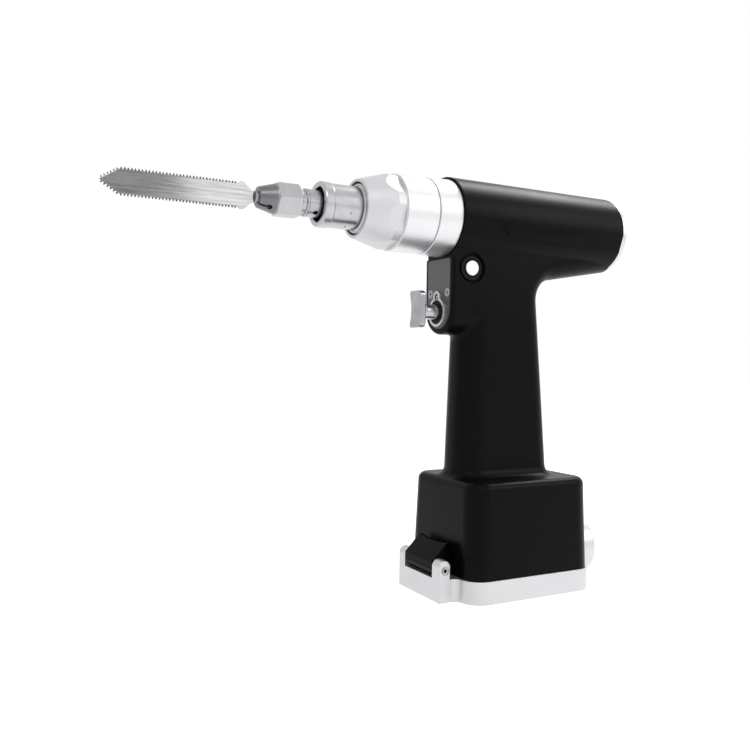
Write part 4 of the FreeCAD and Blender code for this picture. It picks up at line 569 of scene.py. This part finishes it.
CELL_SLEEVE = MouldedPart("shrink-sleeved cell", "#2a4d7a", "#233f66", 0.35)
RUBBER = MouldedPart("black nitrile rubber", "#121212", "#0b0b0b", 0.62, specular=0.2)
NYLON = MouldedPart("black nylon", "#18181a", "#101012", 0.42)
BUSHING = MouldedPart("black acetal bushing", "#0e0e10", "#0a0a0b", 0.30, specular=0.12)
BATTERY_SHELL = MouldedPart("grey battery shell", "#3c3e40", "#323436", 0.45, 0.7)
BOARD = MouldedPart("green lacquered board", "#1d4a30", "#153a25", 0.3, 1.5)


def dress(frame: dict[str, Any], finish: Finish, *names: str) -> None:
    """Give CAD nodes a finish in place of their packed material.

    Args:
        frame: The loaded frame.
        finish: The finish that they get.
        *names: Names of the nodes.
    """
    for name in names:
        node = frame["nodes"][name]
        node.data.materials.clear()
        node.data.materials.append(finish.material())
        LOG.info("dressed %s with %s", name, finish.name)


class PieceTree:
    """A Geometry Nodes tree with named inputs that ends in real faces with a material."""

    def __init__(self, name: str) -> None:
        """Start an empty tree with a geometry input and output."""
        self.tree = bpy.data.node_groups.new(name, "GeometryNodeTree")
        self.tree.interface.new_socket("Geometry", in_out="INPUT", socket_type="NodeSocketGeometry")
        self.tree.interface.new_socket("Geometry", in_out="OUTPUT", socket_type="NodeSocketGeometry")
        self.inputs = add_node(self.tree, "NodeGroupInput")
        self.values: dict[str, Any] = {}

    def size(self, name: str, value: float | int) -> bpy.types.NodeSocket:
        """Add a named input for one size.

        Args:
            name: The input's name.
            value: Its value in metres, radians or as a count.

        Returns:
            The socket inside the tree.
        """
        kind = "NodeSocketInt" if isinstance(value, int) else "NodeSocketFloat"
        self.tree.interface.new_socket(name, in_out="INPUT", socket_type=kind)
        self.values[name] = value
        return self.inputs.outputs[name]

    def close(self, geometry: bpy.types.NodeSocket, material: bpy.types.Material) -> None:
        """End the tree: merge poles and seams, realize the instances, set the material.

        Args:
            geometry: What the tree has made.
            material: The material of its faces.
        """
        real = add_node(self.tree, "GeometryNodeRealizeInstances", links={0: geometry})
        merged = add_node(self.tree, "GeometryNodeMergeByDistance", {"Distance": 1e-6},
                          {"Geometry": real.outputs[0]})
        paint = add_node(self.tree, "GeometryNodeSetMaterial", {"Material": material},
                         {"Geometry": merged.outputs[0]})
        add_node(self.tree, "NodeGroupOutput", links={0: paint.outputs[0]})

    def grow(
        self,
        name: str,
        base: bpy.types.Mesh,
        place: Matrix = Matrix.Identity(4),
    ) -> bpy.types.Object:
        """Run the tree on a base mesh and keep its result as a plain mesh.

        Args:
            name: Name of the finished piece.
            base: The mesh that the tree reads.
            place: Where the result goes.

        Returns:
            The finished object, which sits at the origin.
        """
        carrier = bpy.data.objects.new(name + "_carrier", base)
        bpy.context.scene.collection.objects.link(carrier)
        modifier = carrier.modifiers.new("tree", "NODES")
        modifier.node_group = self.tree
        for socket in self.tree.interface.items_tree:
            if socket.name in self.values:
                modifier[socket.identifier] = self.values[socket.name]
        graph = bpy.context.evaluated_depsgraph_get()
        mesh = bpy.data.meshes.new_from_object(carrier.evaluated_get(graph))
        bpy.data.objects.remove(carrier)
        mesh.transform(place)
        mesh.name = name
        piece = bpy.data.objects.new(name, mesh)
        bpy.context.scene.collection.objects.link(piece)
        return piece


def smooth_by_angle(mesh: bpy.types.Mesh, degrees: float = 32.0) -> None:
    """Shade a mesh smooth and keep the edges that are sharper than an angle.

    Args:
        mesh: The mesh.
        degrees: The angle between faces past which an edge stays sharp.
    """
    mesh.shade_smooth()
    mesh.set_sharp_from_angle(angle=math.radians(degrees))


def outward(mesh: bpy.types.Mesh) -> None:
    """Merge a mesh's doubles and point its faces outwards."""
    shape = bmesh.new()
    shape.from_mesh(mesh)
    bmesh.ops.remove_doubles(shape, verts=shape.verts, dist=1e-7)
    bmesh.ops.recalc_face_normals(shape, faces=shape.faces)
    shape.to_mesh(mesh)
    shape.free()


def settle(piece: bpy.types.Object, body: str, slot: str, *nodes: str) -> None:
    """Hand a finished piece to its body and let it stand for its CAD nodes.

    Args:
        piece: The finished piece.
        body: The body that it rides on.
        slot: Not used.
        *nodes: CAD nodes that it replaces.
    """
    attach(piece, body)
    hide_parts(*nodes)
    LOG.info("made %s with %d faces on %s", piece.name, len(piece.data.polygons), body)


@dataclass
class Casing:
    """The black casting with its rear cap and inner fittings."""

    frame: dict[str, Any]

    def dress(self) -> None:
        """Coat the casting and finish what closes it."""
        dress(self.frame, CASTING, "body_casing")
        dress(self.frame, SILVER_CAP, "rear_cap")
        dress(self.frame, RUBBER, "rear_cap_seal")
        dress(self.frame, BOARD, "control_board", "driver_board")
        dress(self.frame, NYLON, "contact_block", "trigger_sensor")
        dress(self.frame, BRASS, "contact_pins")


@dataclass
class Nose:
    """The silver nose, its steel sleeve and the seals between them."""

    frame: dict[str, Any]

    def dress(self) -> None:
        """Finish the nose's pieces."""
        dress(self.frame, SILVER_TURNED, "nose_ring", "gear_housing")
        dress(self.frame, SILVER_COLLAR, "front_collar")
        dress(self.frame, STEEL_SLEEVE, "nose_sleeve")
        dress(self.frame, RUBBER, "collar_seal", "plunger_seal")
        dress(self.frame, BRONZE, "plunger_front_bush", "plunger_rear_bush")


@dataclass
class Drive:
    """Motor, gears, crank and yoke inside the barrel and the nose."""

    frame: dict[str, Any]

    def dress(self) -> None:
        """Finish the drive's pieces."""
        dress(self.frame, MOTOR_STEEL, "motor_can", "motor_end_bell", "gear_frame")
        dress(self.frame, STATOR_IRON, "motor_stator")
        dress(self.frame, COPPER, "motor_coils")
        dress(self.frame, MAGNET, "rotor_magnet")
        dress(self.frame, BEARING_STEEL, "motor_shaft", "motor_front_bearing", "motor_rear_bearing",
              "crank_bearing", "crank_pin", "crank_roller", "yoke_pin")
        dress(self.frame, GEAR_STEEL, "drive_pinion", "crank_gear", "scotch_yoke")


@dataclass
class SawBlade:
    """Double-edged blade: a ground strip with its teeth set along both edges and the tip."""

    frame: dict[str, Any]
    thickness: float = 0.9 * MM
    tang_length: float = 12.0 * MM
    tang_half: float = 2.7 * MM
    neck_reach: float = 1.2 * MM
    corner_half: float = 6.5 * MM
    corner_reach: float = 5.4 * MM
    corner_length: float = 1.5 * MM
    tooth_height: float = 1.1 * MM
    tooth_pitch: float = 1.53 * MM
    tooth_width: float = 0.84 * tooth_pitch
    tooth_thickness: float = 0.98 * thickness
    tooth_point: float = 0.09
    tooth_sunk: float = 0.15 * MM
    tooth_set: float = 0.14 * MM
    tooth_start: float = 8.5 * MM
    edge_break: float = 0.08 * MM

    def edge_line(self) -> list[tuple[Vector, Vector, Vector]]:
        """Return start, end and outward direction of each toothed stretch."""
        first = COLLET_FRONT + self.tooth_start
        tip = Vector((COLLET_FRONT + BLADE_REACH, 0, 0))
        shoulder = Vector((tip.x - BLADE_TIP_LENGTH, 0, BLADE_ROOT_HALF))
        slant = tip - shoulder
        normal = Vector((-slant.z, 0, slant.x)).normalized()
        lines = [
            (Vector((first, 0, BLADE_ROOT_HALF)), shoulder, Vector((0, 0, 1))),
            (shoulder, tip - slant * 0.05, normal),
        ]
        under = [(Vector((a.x, 0, -a.z)), Vector((b.x, 0, -b.z)), Vector((n.x, 0, -n.z)))
                 for a, b, n in lines]
        return lines + under

    def strip(self) -> bpy.types.Mesh:
        """Make the strip without its teeth, its rims a little broken."""
        front = COLLET_FRONT
        tip = front + BLADE_REACH
        upper = [
            (front - self.tang_length, self.tang_half),
            (front + self.neck_reach, self.tang_half),
            (front + self.corner_reach, self.corner_half),
            (front + self.corner_reach + self.corner_length, self.corner_half),
            (front + self.tooth_start, BLADE_ROOT_HALF),
            (tip - BLADE_TIP_LENGTH, BLADE_ROOT_HALF),
        ]
        outline = upper + [(tip, 0.0)] + [(x, -z) for x, z in reversed(upper)]
        shape = bmesh.new()
        half = self.thickness / 2
        ring = [shape.verts.new((x, -half, z)) for x, z in outline]
        face = shape.faces.new(ring)
        grown = bmesh.ops.extrude_face_region(shape, geom=[face])
        moved = [item for item in grown["geom"] if isinstance(item, bmesh.types.BMVert)]
        bmesh.ops.translate(shape, vec=(0, self.thickness, 0), verts=moved)
        rims = [edge for edge in shape.edges if abs(edge.verts[0].co.y - edge.verts[1].co.y) < 1e-9]
        bmesh.ops.bevel(shape, geom=rims, offset=self.edge_break, segments=1, affect="EDGES")
        bmesh.ops.recalc_face_normals(shape, faces=shape.faces)
        mesh = bpy.data.meshes.new("blade_strip")
        shape.to_mesh(mesh)
        shape.free()
        return mesh

    def tooth_points(self) -> bpy.types.Mesh:
        """Place one point per tooth, with its lean and its set as attributes."""
        points: list[Vector] = []
        leans: list[float] = []
        sets: list[float] = []
        for start, end, normal in self.edge_line():
            span = end - start
            count = max(1, round(span.length / self.tooth_pitch))
            for number in range(count):
                points.append(start + span * ((number + 0.5) / count))
                leans.append(math.atan2(normal.x, normal.z))
                sets.append(1.0 if number % 2 else -1.0)
        mesh = bpy.data.meshes.new("tooth_points")
        mesh.from_pydata(points, [], [])
        for name, numbers in (("lean", leans), ("set", sets)):
            layer = mesh.attributes.new(name, "FLOAT", "POINT")
            layer.data.foreach_set("value", numbers)
        return mesh

    def tooth_tree(self) -> PieceTree:
        """Grow a four-sided pointed tooth on each point, leaning out of its edge."""
        made = PieceTree("blade_teeth")
        tree = made.tree
        height = made.size("Tooth Height", self.tooth_height)
        width = made.size("Tooth Width", self.tooth_width)
        thick = made.size("Tooth Thickness", self.tooth_thickness)
        sunk = made.size("Root Overlap", self.tooth_sunk)
        offset = made.size("Set", self.tooth_set)
        deep = add_node(tree, "ShaderNodeMath", links={0: height, 1: sunk})
        cone = add_node(tree, "GeometryNodeMeshCone",
                        {"Vertices": 4, "Radius Top": self.tooth_point,
                         "Radius Bottom": math.sqrt(0.5), "Depth": 1.0})
        square = add_node(tree, "GeometryNodeTransform", {"Rotation": (0, 0, math.pi / 4)},
                          {"Geometry": cone.outputs[0]})
        scale = add_node(tree, "ShaderNodeCombineXYZ", links={0: width, 1: thick, 2: deep.outputs[0]})
        drop = add_node(tree, "ShaderNodeMath", links={0: sunk}, values={1: -1.0}, operation="MULTIPLY")
        low = add_node(tree, "ShaderNodeCombineXYZ", links={2: drop.outputs[0]})
        tooth = add_node(tree, "GeometryNodeTransform",
                         links={"Geometry": square.outputs[0], "Scale": scale.outputs[0],
                                "Translation": low.outputs[0]})
        lean = add_node(tree, "GeometryNodeInputNamedAttribute", {"Name": "lean"}, data_type="FLOAT")
        side = add_node(tree, "GeometryNodeInputNamedAttribute", {"Name": "set"}, data_type="FLOAT")
        turn = add_node(tree, "ShaderNodeCombineXYZ", links={1: lean.outputs[0]})
        rotation = add_node(tree, "FunctionNodeEulerToRotation", links={0: turn.outputs[0]})
        aside = add_node(tree, "ShaderNodeMath", links={0: side.outputs[0], 1: offset},
                         operation="MULTIPLY")
        shift = add_node(tree, "ShaderNodeCombineXYZ", links={1: aside.outputs[0]})
        cloud = add_node(tree, "GeometryNodeMeshToPoints", links={"Mesh": made.inputs.outputs[0]})
        set_out = add_node(tree, "GeometryNodeSetPosition",
                           links={"Geometry": cloud.outputs[0], "Offset": shift.outputs[0]})
        teeth = add_node(tree, "GeometryNodeInstanceOnPoints",
                         links={"Points": set_out.outputs[0], "Instance": tooth.outputs[0],
                                "Rotation": rotation.outputs[0]})
        made.close(teeth.outputs[0], BLADE_STEEL.material())
        return made

    def build(self) -> None:
        """Make the strip and its teeth one piece that stands for the CAD blade."""
        teeth = self.tooth_tree().grow("blade_teeth", self.tooth_points())
        strip = self.strip()
        shape = bmesh.new()
        shape.from_mesh(strip)
        shape.from_mesh(teeth.data)
        mesh = bpy.data.meshes.new("ground_blade")
        shape.to_mesh(mesh)
        shape.free()
        bpy.data.objects.remove(teeth)
        mesh.transform(Matrix.Translation((0, 0, AXIS_HEIGHT)))
        mesh.materials.append(BLADE_STEEL.material())
        piece = bpy.data.objects.new("ground_blade", mesh)
        bpy.context.scene.collection.objects.link(piece)
        settle(piece, "plunger", "blade_steel", "saw_blade")


@dataclass
class Chuck:
    """Plunger, clamp nut and collet."""

    frame: dict[str, Any]

    def dress(self) -> None:
        """Finish the moving steel in front of the sleeve."""
        dress(self.frame, STEEL_PLUNGER, "plunger_shaft")
        dress(self.frame, STEEL_CHUCK, "chuck_nut")
        dress(self.frame, STEEL_COLLET, "collet")


@dataclass
class WireSpring:
    """A spring of round wire in a regular helix; one with a joint gets a mesh of its own."""

    name: str
    around: Around
    foot: tuple[float, float, float]
    length: float
    radius: float
    turns: float
    wire: float = 0.35 * MM
    seat: float = 1.4 * wire
    joint: str = ""
    travel: float = 0.0

    def build(self, body: str, slot: str) -> None:
        """Grow the wire along its helix and let it stand for the CAD spring.

        Args:
            body: The body that the spring rides on.
            slot: Not used.
        """
        made = PieceTree(self.name + "_wire")
        tree = made.tree
        radius = made.size("Coil Radius", self.radius)
        turns = made.size("Turns", self.turns)
        climb = made.size("Free Length", self.length - 2 * self.seat)
        wire = made.size("Wire Radius", self.wire)
        helix = add_node(tree, "GeometryNodeCurveSpiral", {"Resolution": 36},
                         {"Rotations": turns, "Start Radius": radius,
                          "End Radius": radius, "Height": climb})
        ring = add_node(tree, "GeometryNodeCurvePrimitiveCircle", {"Resolution": 14},
                        {"Radius": wire})
        swept = add_node(tree, "GeometryNodeCurveToMesh", {"Fill Caps": True},
                         {"Curve": helix.outputs[0], "Profile Curve": ring.outputs[0]})
        made.close(swept.outputs[0], SPRING_STEEL.material())
        place = Matrix.Translation(self.foot) @ self.around.upright_to_axis()
        lift = Matrix.Translation((0, 0, self.seat))
        empty = bpy.data.meshes.new(self.name + "_base")
        piece = made.grow(self.name + "_wire", empty, place @ lift)
        outward(piece.data)
        smooth_by_angle(piece.data, 60)
        settle(piece, body, slot, self.name)
        if self.joint:
            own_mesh(piece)


@dataclass
class TriggerGroup:
    """Plate with its keyhole boss, screws, rod, finger pad and what lies behind."""

    frame: dict[str, Any]
    screw_places: tuple[tuple[float, float], ...] = ((8.3 * MM, 162.3 * MM), (-8.3 * MM, 162.3 * MM))
    face_x: float = 36.75 * MM
    head_radius: float = 2.31 * MM
    head_depth: float = 0.9 * MM
    cross_width: float = 0.62 * MM
    cross_length: float = 2.8 * MM
    cross_depth: float = 0.55 * MM
    shank_radius: float = 1.25 * MM
    shank_length: float = 5.0 * MM

    def screw_points(self) -> bpy.types.Mesh:
        """Place one point at each screw, on the plate's face."""
        mesh = bpy.data.meshes.new("screw_points")
        mesh.from_pydata([(self.face_x, y, z) for y, z in self.screw_places], [], [])
        return mesh

    def screw_tree(self) -> PieceTree:
        """Make a countersunk screw with a cross recess and set one on each point."""
        made = PieceTree("plate_screw")
        tree = made.tree
        head_radius = made.size("Head Radius", self.head_radius)
        depth = made.size("Head Depth", self.head_depth)
        shank = made.size("Shank Radius", self.shank_radius)
        shank_length = made.size("Shank Length", self.shank_length)
        across = made.size("Cross Width", self.cross_width)
        length = made.size("Cross Length", self.cross_length)
        recess = made.size("Cross Depth", self.cross_depth)
        head = add_node(tree, "GeometryNodeMeshCone", {"Vertices": 48},
                        {"Radius Top": head_radius, "Radius Bottom": shank, "Depth": depth})
        sink = add_node(tree, "ShaderNodeMath", {1: -1.0}, {0: depth}, operation="MULTIPLY")
        low = add_node(tree, "ShaderNodeCombineXYZ", links={2: sink.outputs[0]})
        head_low = add_node(tree, "GeometryNodeTransform",
                            links={"Geometry": head.outputs[0], "Translation": low.outputs[0]})
        bar = add_node(tree, "GeometryNodeMeshCylinder", {"Vertices": 32},
                       {"Radius": shank, "Depth": shank_length})
        half = add_node(tree, "ShaderNodeMath", {1: -0.5}, {0: shank_length}, operation="MULTIPLY")
        foot = add_node(tree, "ShaderNodeMath", links={0: half.outputs[0], 1: sink.outputs[0]})
        lower = add_node(tree, "ShaderNodeCombineXYZ", links={2: foot.outputs[0]})
        bar_low = add_node(tree, "GeometryNodeTransform",
                           links={"Geometry": bar.outputs[0], "Translation": lower.outputs[0]})
        double = add_node(tree, "ShaderNodeMath", {1: 2.0}, {0: recess}, operation="MULTIPLY")
        flat = add_node(tree, "ShaderNodeCombineXYZ",
                        links={0: length, 1: across, 2: double.outputs[0]})
        tall = add_node(tree, "ShaderNodeCombineXYZ",
                        links={0: across, 1: length, 2: double.outputs[0]})
        slots = [add_node(tree, "GeometryNodeMeshCube", links={"Size": size.outputs[0]})
                 for size in (flat, tall)]
        cross = add_node(tree, "GeometryNodeMeshBoolean", operation="DIFFERENCE",
                         links={0: head_low.outputs[0], 1: slots[0].outputs[0]})
        tree.links.new(slots[1].outputs[0], cross.inputs[1])
        whole = add_node(tree, "GeometryNodeJoinGeometry", links={0: cross.outputs[0]})
        tree.links.new(bar_low.outputs[0], whole.inputs[0])
        cloud = add_node(tree, "GeometryNodeMeshToPoints", links={"Mesh": made.inputs.outputs[0]})
        turn = add_node(tree, "FunctionNodeEulerToRotation", {0: (0, math.pi / 2, 0)})
        set_in = add_node(tree, "GeometryNodeInstanceOnPoints",
                          links={"Points": cloud.outputs[0], "Instance": whole.outputs[0],
                                 "Rotation": turn.outputs[0]})
        made.close(set_in.outputs[0], SCREW_STEEL.material())
        return made

    def build(self) -> None:
        """Dress the CAD pieces and set the screws and the spring."""
        dress(self.frame, PLATE_ANODISED, "trigger_plate")
        dress(self.frame, STEEL_BRIGHT, "trigger_rod")
        dress(self.frame, STEEL_PAD, "trigger_pad")
        dress(self.frame, RUBBER, "trigger_seal")
        dress(self.frame, BRONZE, "trigger_bush")
        dress(self.frame, SCREW_STEEL, "trigger_guide_pin")
        dress(self.frame, MAGNET, "trigger_magnet")
        screws = self.screw_tree().grow("plate_screws", self.screw_points())
        smooth_by_angle(screws.data)
        settle(screws, "casing", "screw_steel", "trigger_plate_screws")
        spring = WireSpring("trigger_spring", Around.X, (8.5 * MM, 0, 152.0 * MM),
                            10.9 * MM, 3.4 * MM, 6.0, joint="trigger_slide", travel=5.5 * MM)
        spring.build("casing", "spring_steel")


@dataclass
class SideButton:
    """Steel push button in its black bushing."""

    frame: dict[str, Any]

    def build(self) -> None:
        """Dress the button and its bushing and wind the spring."""
        dress(self.frame, STEEL_BUTTON, "side_button")
        dress(self.frame, BUSHING, "button_bushing")
        spring = WireSpring("button_spring", Around.Y, (24.6 * MM, 2.65 * MM, 175.5 * MM),
                            4.6 * MM, 3.2 * MM, 4.0, joint="button_slide", travel=1.5 * MM)
        spring.build("casing", "spring_steel")


@dataclass
class BatteryBay:
    """Battery, lid, latch and the knob behind."""

    frame: dict[str, Any]

    def build(self) -> None:
        """Dress the battery, the lid and what holds the lid."""
        dress(self.frame, SILVER_MILLED, "battery_lid")
        dress(self.frame, SILVER_CAP, "lid_knob")
        dress(self.frame, LEVER_COAT, "latch_lever")
        dress(self.frame, STEEL_TURNED, "latch_pin")
        dress(self.frame, RUBBER, "lid_seal", "battery_cushion")
        dress(self.frame, BEARING_STEEL, "knob_shaft", "knob_cam")
        dress(self.frame, BATTERY_SHELL, "battery_case")
        dress(self.frame, CELL_SLEEVE, "battery_cells")
        dress(self.frame, BRASS, "battery_terminals")
        spring = WireSpring("latch_spring", Around.Y, (43.1 * MM, -3.6 * MM, 16.8 * MM),
                            7.2 * MM, 2.15 * MM, 6.0)
        spring.build("lid", "spring_steel")


@dataclass
class Studio:
    """White floor and backdrop, soft lamps and the camera at the photograph's place."""

    eye: tuple[float, float, float] = (0.271616, 0.366610, 0.124072)
    yaw: float = math.radians(28.198)
    pitch: float = math.radians(0.862)
    roll: float = math.radians(0.875)
    focal_px: float = 800.611
    frame_px: float = 750.0
    sensor_mm: float = 36.0
    aim: tuple[float, float, float] = (0.04, 0.0, 0.12)
    world_as_lamp: float = 0.45
    floor_colour: str = "#f4f4f4"
    floor_glow: float = 0.62
    floor_half: float = 6.0
    floor_drop: float = 30.2 * MM
    lamps: tuple[tuple[str, tuple[float, float, float], float, float, float], ...] = (
        ("key_softbox", (0.45, 0.75, 0.95), 0.50, 0.50, 1.7),
        ("rim_softbox", (-0.66, -0.20, 1.04), 0.45, 0.45, 6.0),
        ("side_softbox", (-0.72, 0.74, 0.66), 0.40, 0.55, 2.6),
        ("strip_softbox", (-0.20, 1.12, 0.44), 0.16, 0.50, 0.6),
    )

    def white_to_rays(self, tree: bpy.types.NodeTree) -> bpy.types.NodeSocket:
        """Return 1 for the rays that should see the white background, else 0."""
        path = add_node(tree, "ShaderNodeLightPath")
        first = add_node(tree, "ShaderNodeMath", operation="MAXIMUM",
                         links={0: path.outputs["Is Camera Ray"], 1: path.outputs["Is Glossy Ray"]})
        both = add_node(tree, "ShaderNodeMath", operation="MAXIMUM",
                        links={0: first.outputs[0], 1: path.outputs["Is Transmission Ray"]})
        return both.outputs[0]

    def world(self) -> None:
        """Make the world white to the eye and dimmer as a lamp."""
        world = bpy.data.worlds.new("white_studio")
        bpy.context.scene.world = world
        world.use_nodes = True
        tree = world.node_tree
        tree.nodes.clear()
        strength = add_node(tree, "ShaderNodeMapRange", {"To Min": self.world_as_lamp, "To Max": 1.0},
                            {"Value": self.white_to_rays(tree)})
        sky = add_node(tree, "ShaderNodeBackground", {"Color": (1, 1, 1, 1)},
                       {"Strength": strength.outputs[0]})
        add_node(tree, "ShaderNodeOutputWorld", links={"Surface": sky.outputs[0]})

    def floor(self) -> None:
        """Lay a white floor that keeps a soft shadow, low enough for the lid to drop out."""
        shape = bmesh.new()
        bmesh.ops.create_grid(shape, x_segments=1, y_segments=1, size=self.floor_half)
        mesh = bpy.data.meshes.new("studio_floor")
        shape.to_mesh(mesh)
        shape.free()
        mesh.transform(Matrix.Translation((0, 0, -self.floor_drop)))
        floor = bpy.data.objects.new("studio_floor", mesh)
        bpy.context.scene.collection.objects.link(floor)
        material = bpy.data.materials.new("matt white backdrop")
        material.use_nodes = True
        tree = material.node_tree
        tree.nodes.clear()
        matt = add_node(tree, "ShaderNodeBsdfDiffuse", {"Color": linear(self.floor_colour)})
        glow = add_node(tree, "ShaderNodeEmission",
                        {"Color": (1, 1, 1, 1), "Strength": self.floor_glow})
        lit = add_node(tree, "ShaderNodeAddShader", links={0: matt.outputs[0], 1: glow.outputs[0]})
        seen = add_node(tree, "ShaderNodeMixShader",
                        links={0: self.white_to_rays(tree), 1: matt.outputs[0], 2: lit.outputs[0]})
        add_node(tree, "ShaderNodeOutputMaterial", links={"Surface": seen.outputs[0]})
        mesh.materials.append(material)

    def light(self) -> None:
        """Hang the softboxes, each aimed at the middle of the tool."""
        for name, place, width, height, power in self.lamps:
            lamp = bpy.data.lights.new(name, "AREA")
            lamp.shape = "ELLIPSE" if width == height else "RECTANGLE"
            lamp.size = width
            lamp.size_y = height
            lamp.energy = power
            holder = bpy.data.objects.new(name, lamp)
            holder.location = place
            towards = Vector(self.aim) - Vector(place)
            holder.rotation_euler = towards.to_track_quat("-Z", "Y").to_euler()
            bpy.context.scene.collection.objects.link(holder)

    def camera(self) -> None:
        """Set the camera where the photograph was taken from."""
        look = Vector((
            -math.sin(self.yaw) * math.cos(self.pitch),
            -math.cos(self.yaw) * math.cos(self.pitch),
            -math.sin(self.pitch),
        ))
        level = look.cross(Vector((0, 0, 1))).normalized()
        upright = level.cross(look)
        right = level * math.cos(self.roll) + upright * math.sin(self.roll)
        up = upright * math.cos(self.roll) - level * math.sin(self.roll)
        lens = bpy.data.cameras.new("photo_camera")
        lens.sensor_fit = "HORIZONTAL"
        lens.sensor_width = self.sensor_mm
        lens.lens = self.sensor_mm * self.focal_px / self.frame_px
        lens.clip_start = 0.01
        lens.clip_end = 50.0
        holder = bpy.data.objects.new("photo_camera", lens)
        turn = Matrix((right, up, -look)).transposed().to_4x4()
        holder.matrix_world = Matrix.Translation(self.eye) @ turn
        bpy.context.scene.collection.objects.link(holder)
        bpy.context.scene.camera = holder

    def build(self) -> None:
        """Put up the whole studio."""
        self.world()
        self.floor()
        self.light()
        self.camera()
        bpy.context.scene.view_settings.view_transform = "Standard"


def main() -> None:
    """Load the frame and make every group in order."""
    logging.basicConfig(level=logging.INFO, format="%(name)s: %(message)s")
    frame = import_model()
    Casing(frame).dress()
    Nose(frame).dress()
    Drive(frame).dress()
    Chuck(frame).dress()
    SawBlade(frame).build()
    TriggerGroup(frame).build()
    SideButton(frame).build()
    BatteryBay(frame).build()
    Studio().build()


if __name__ == "__main__":
    main()
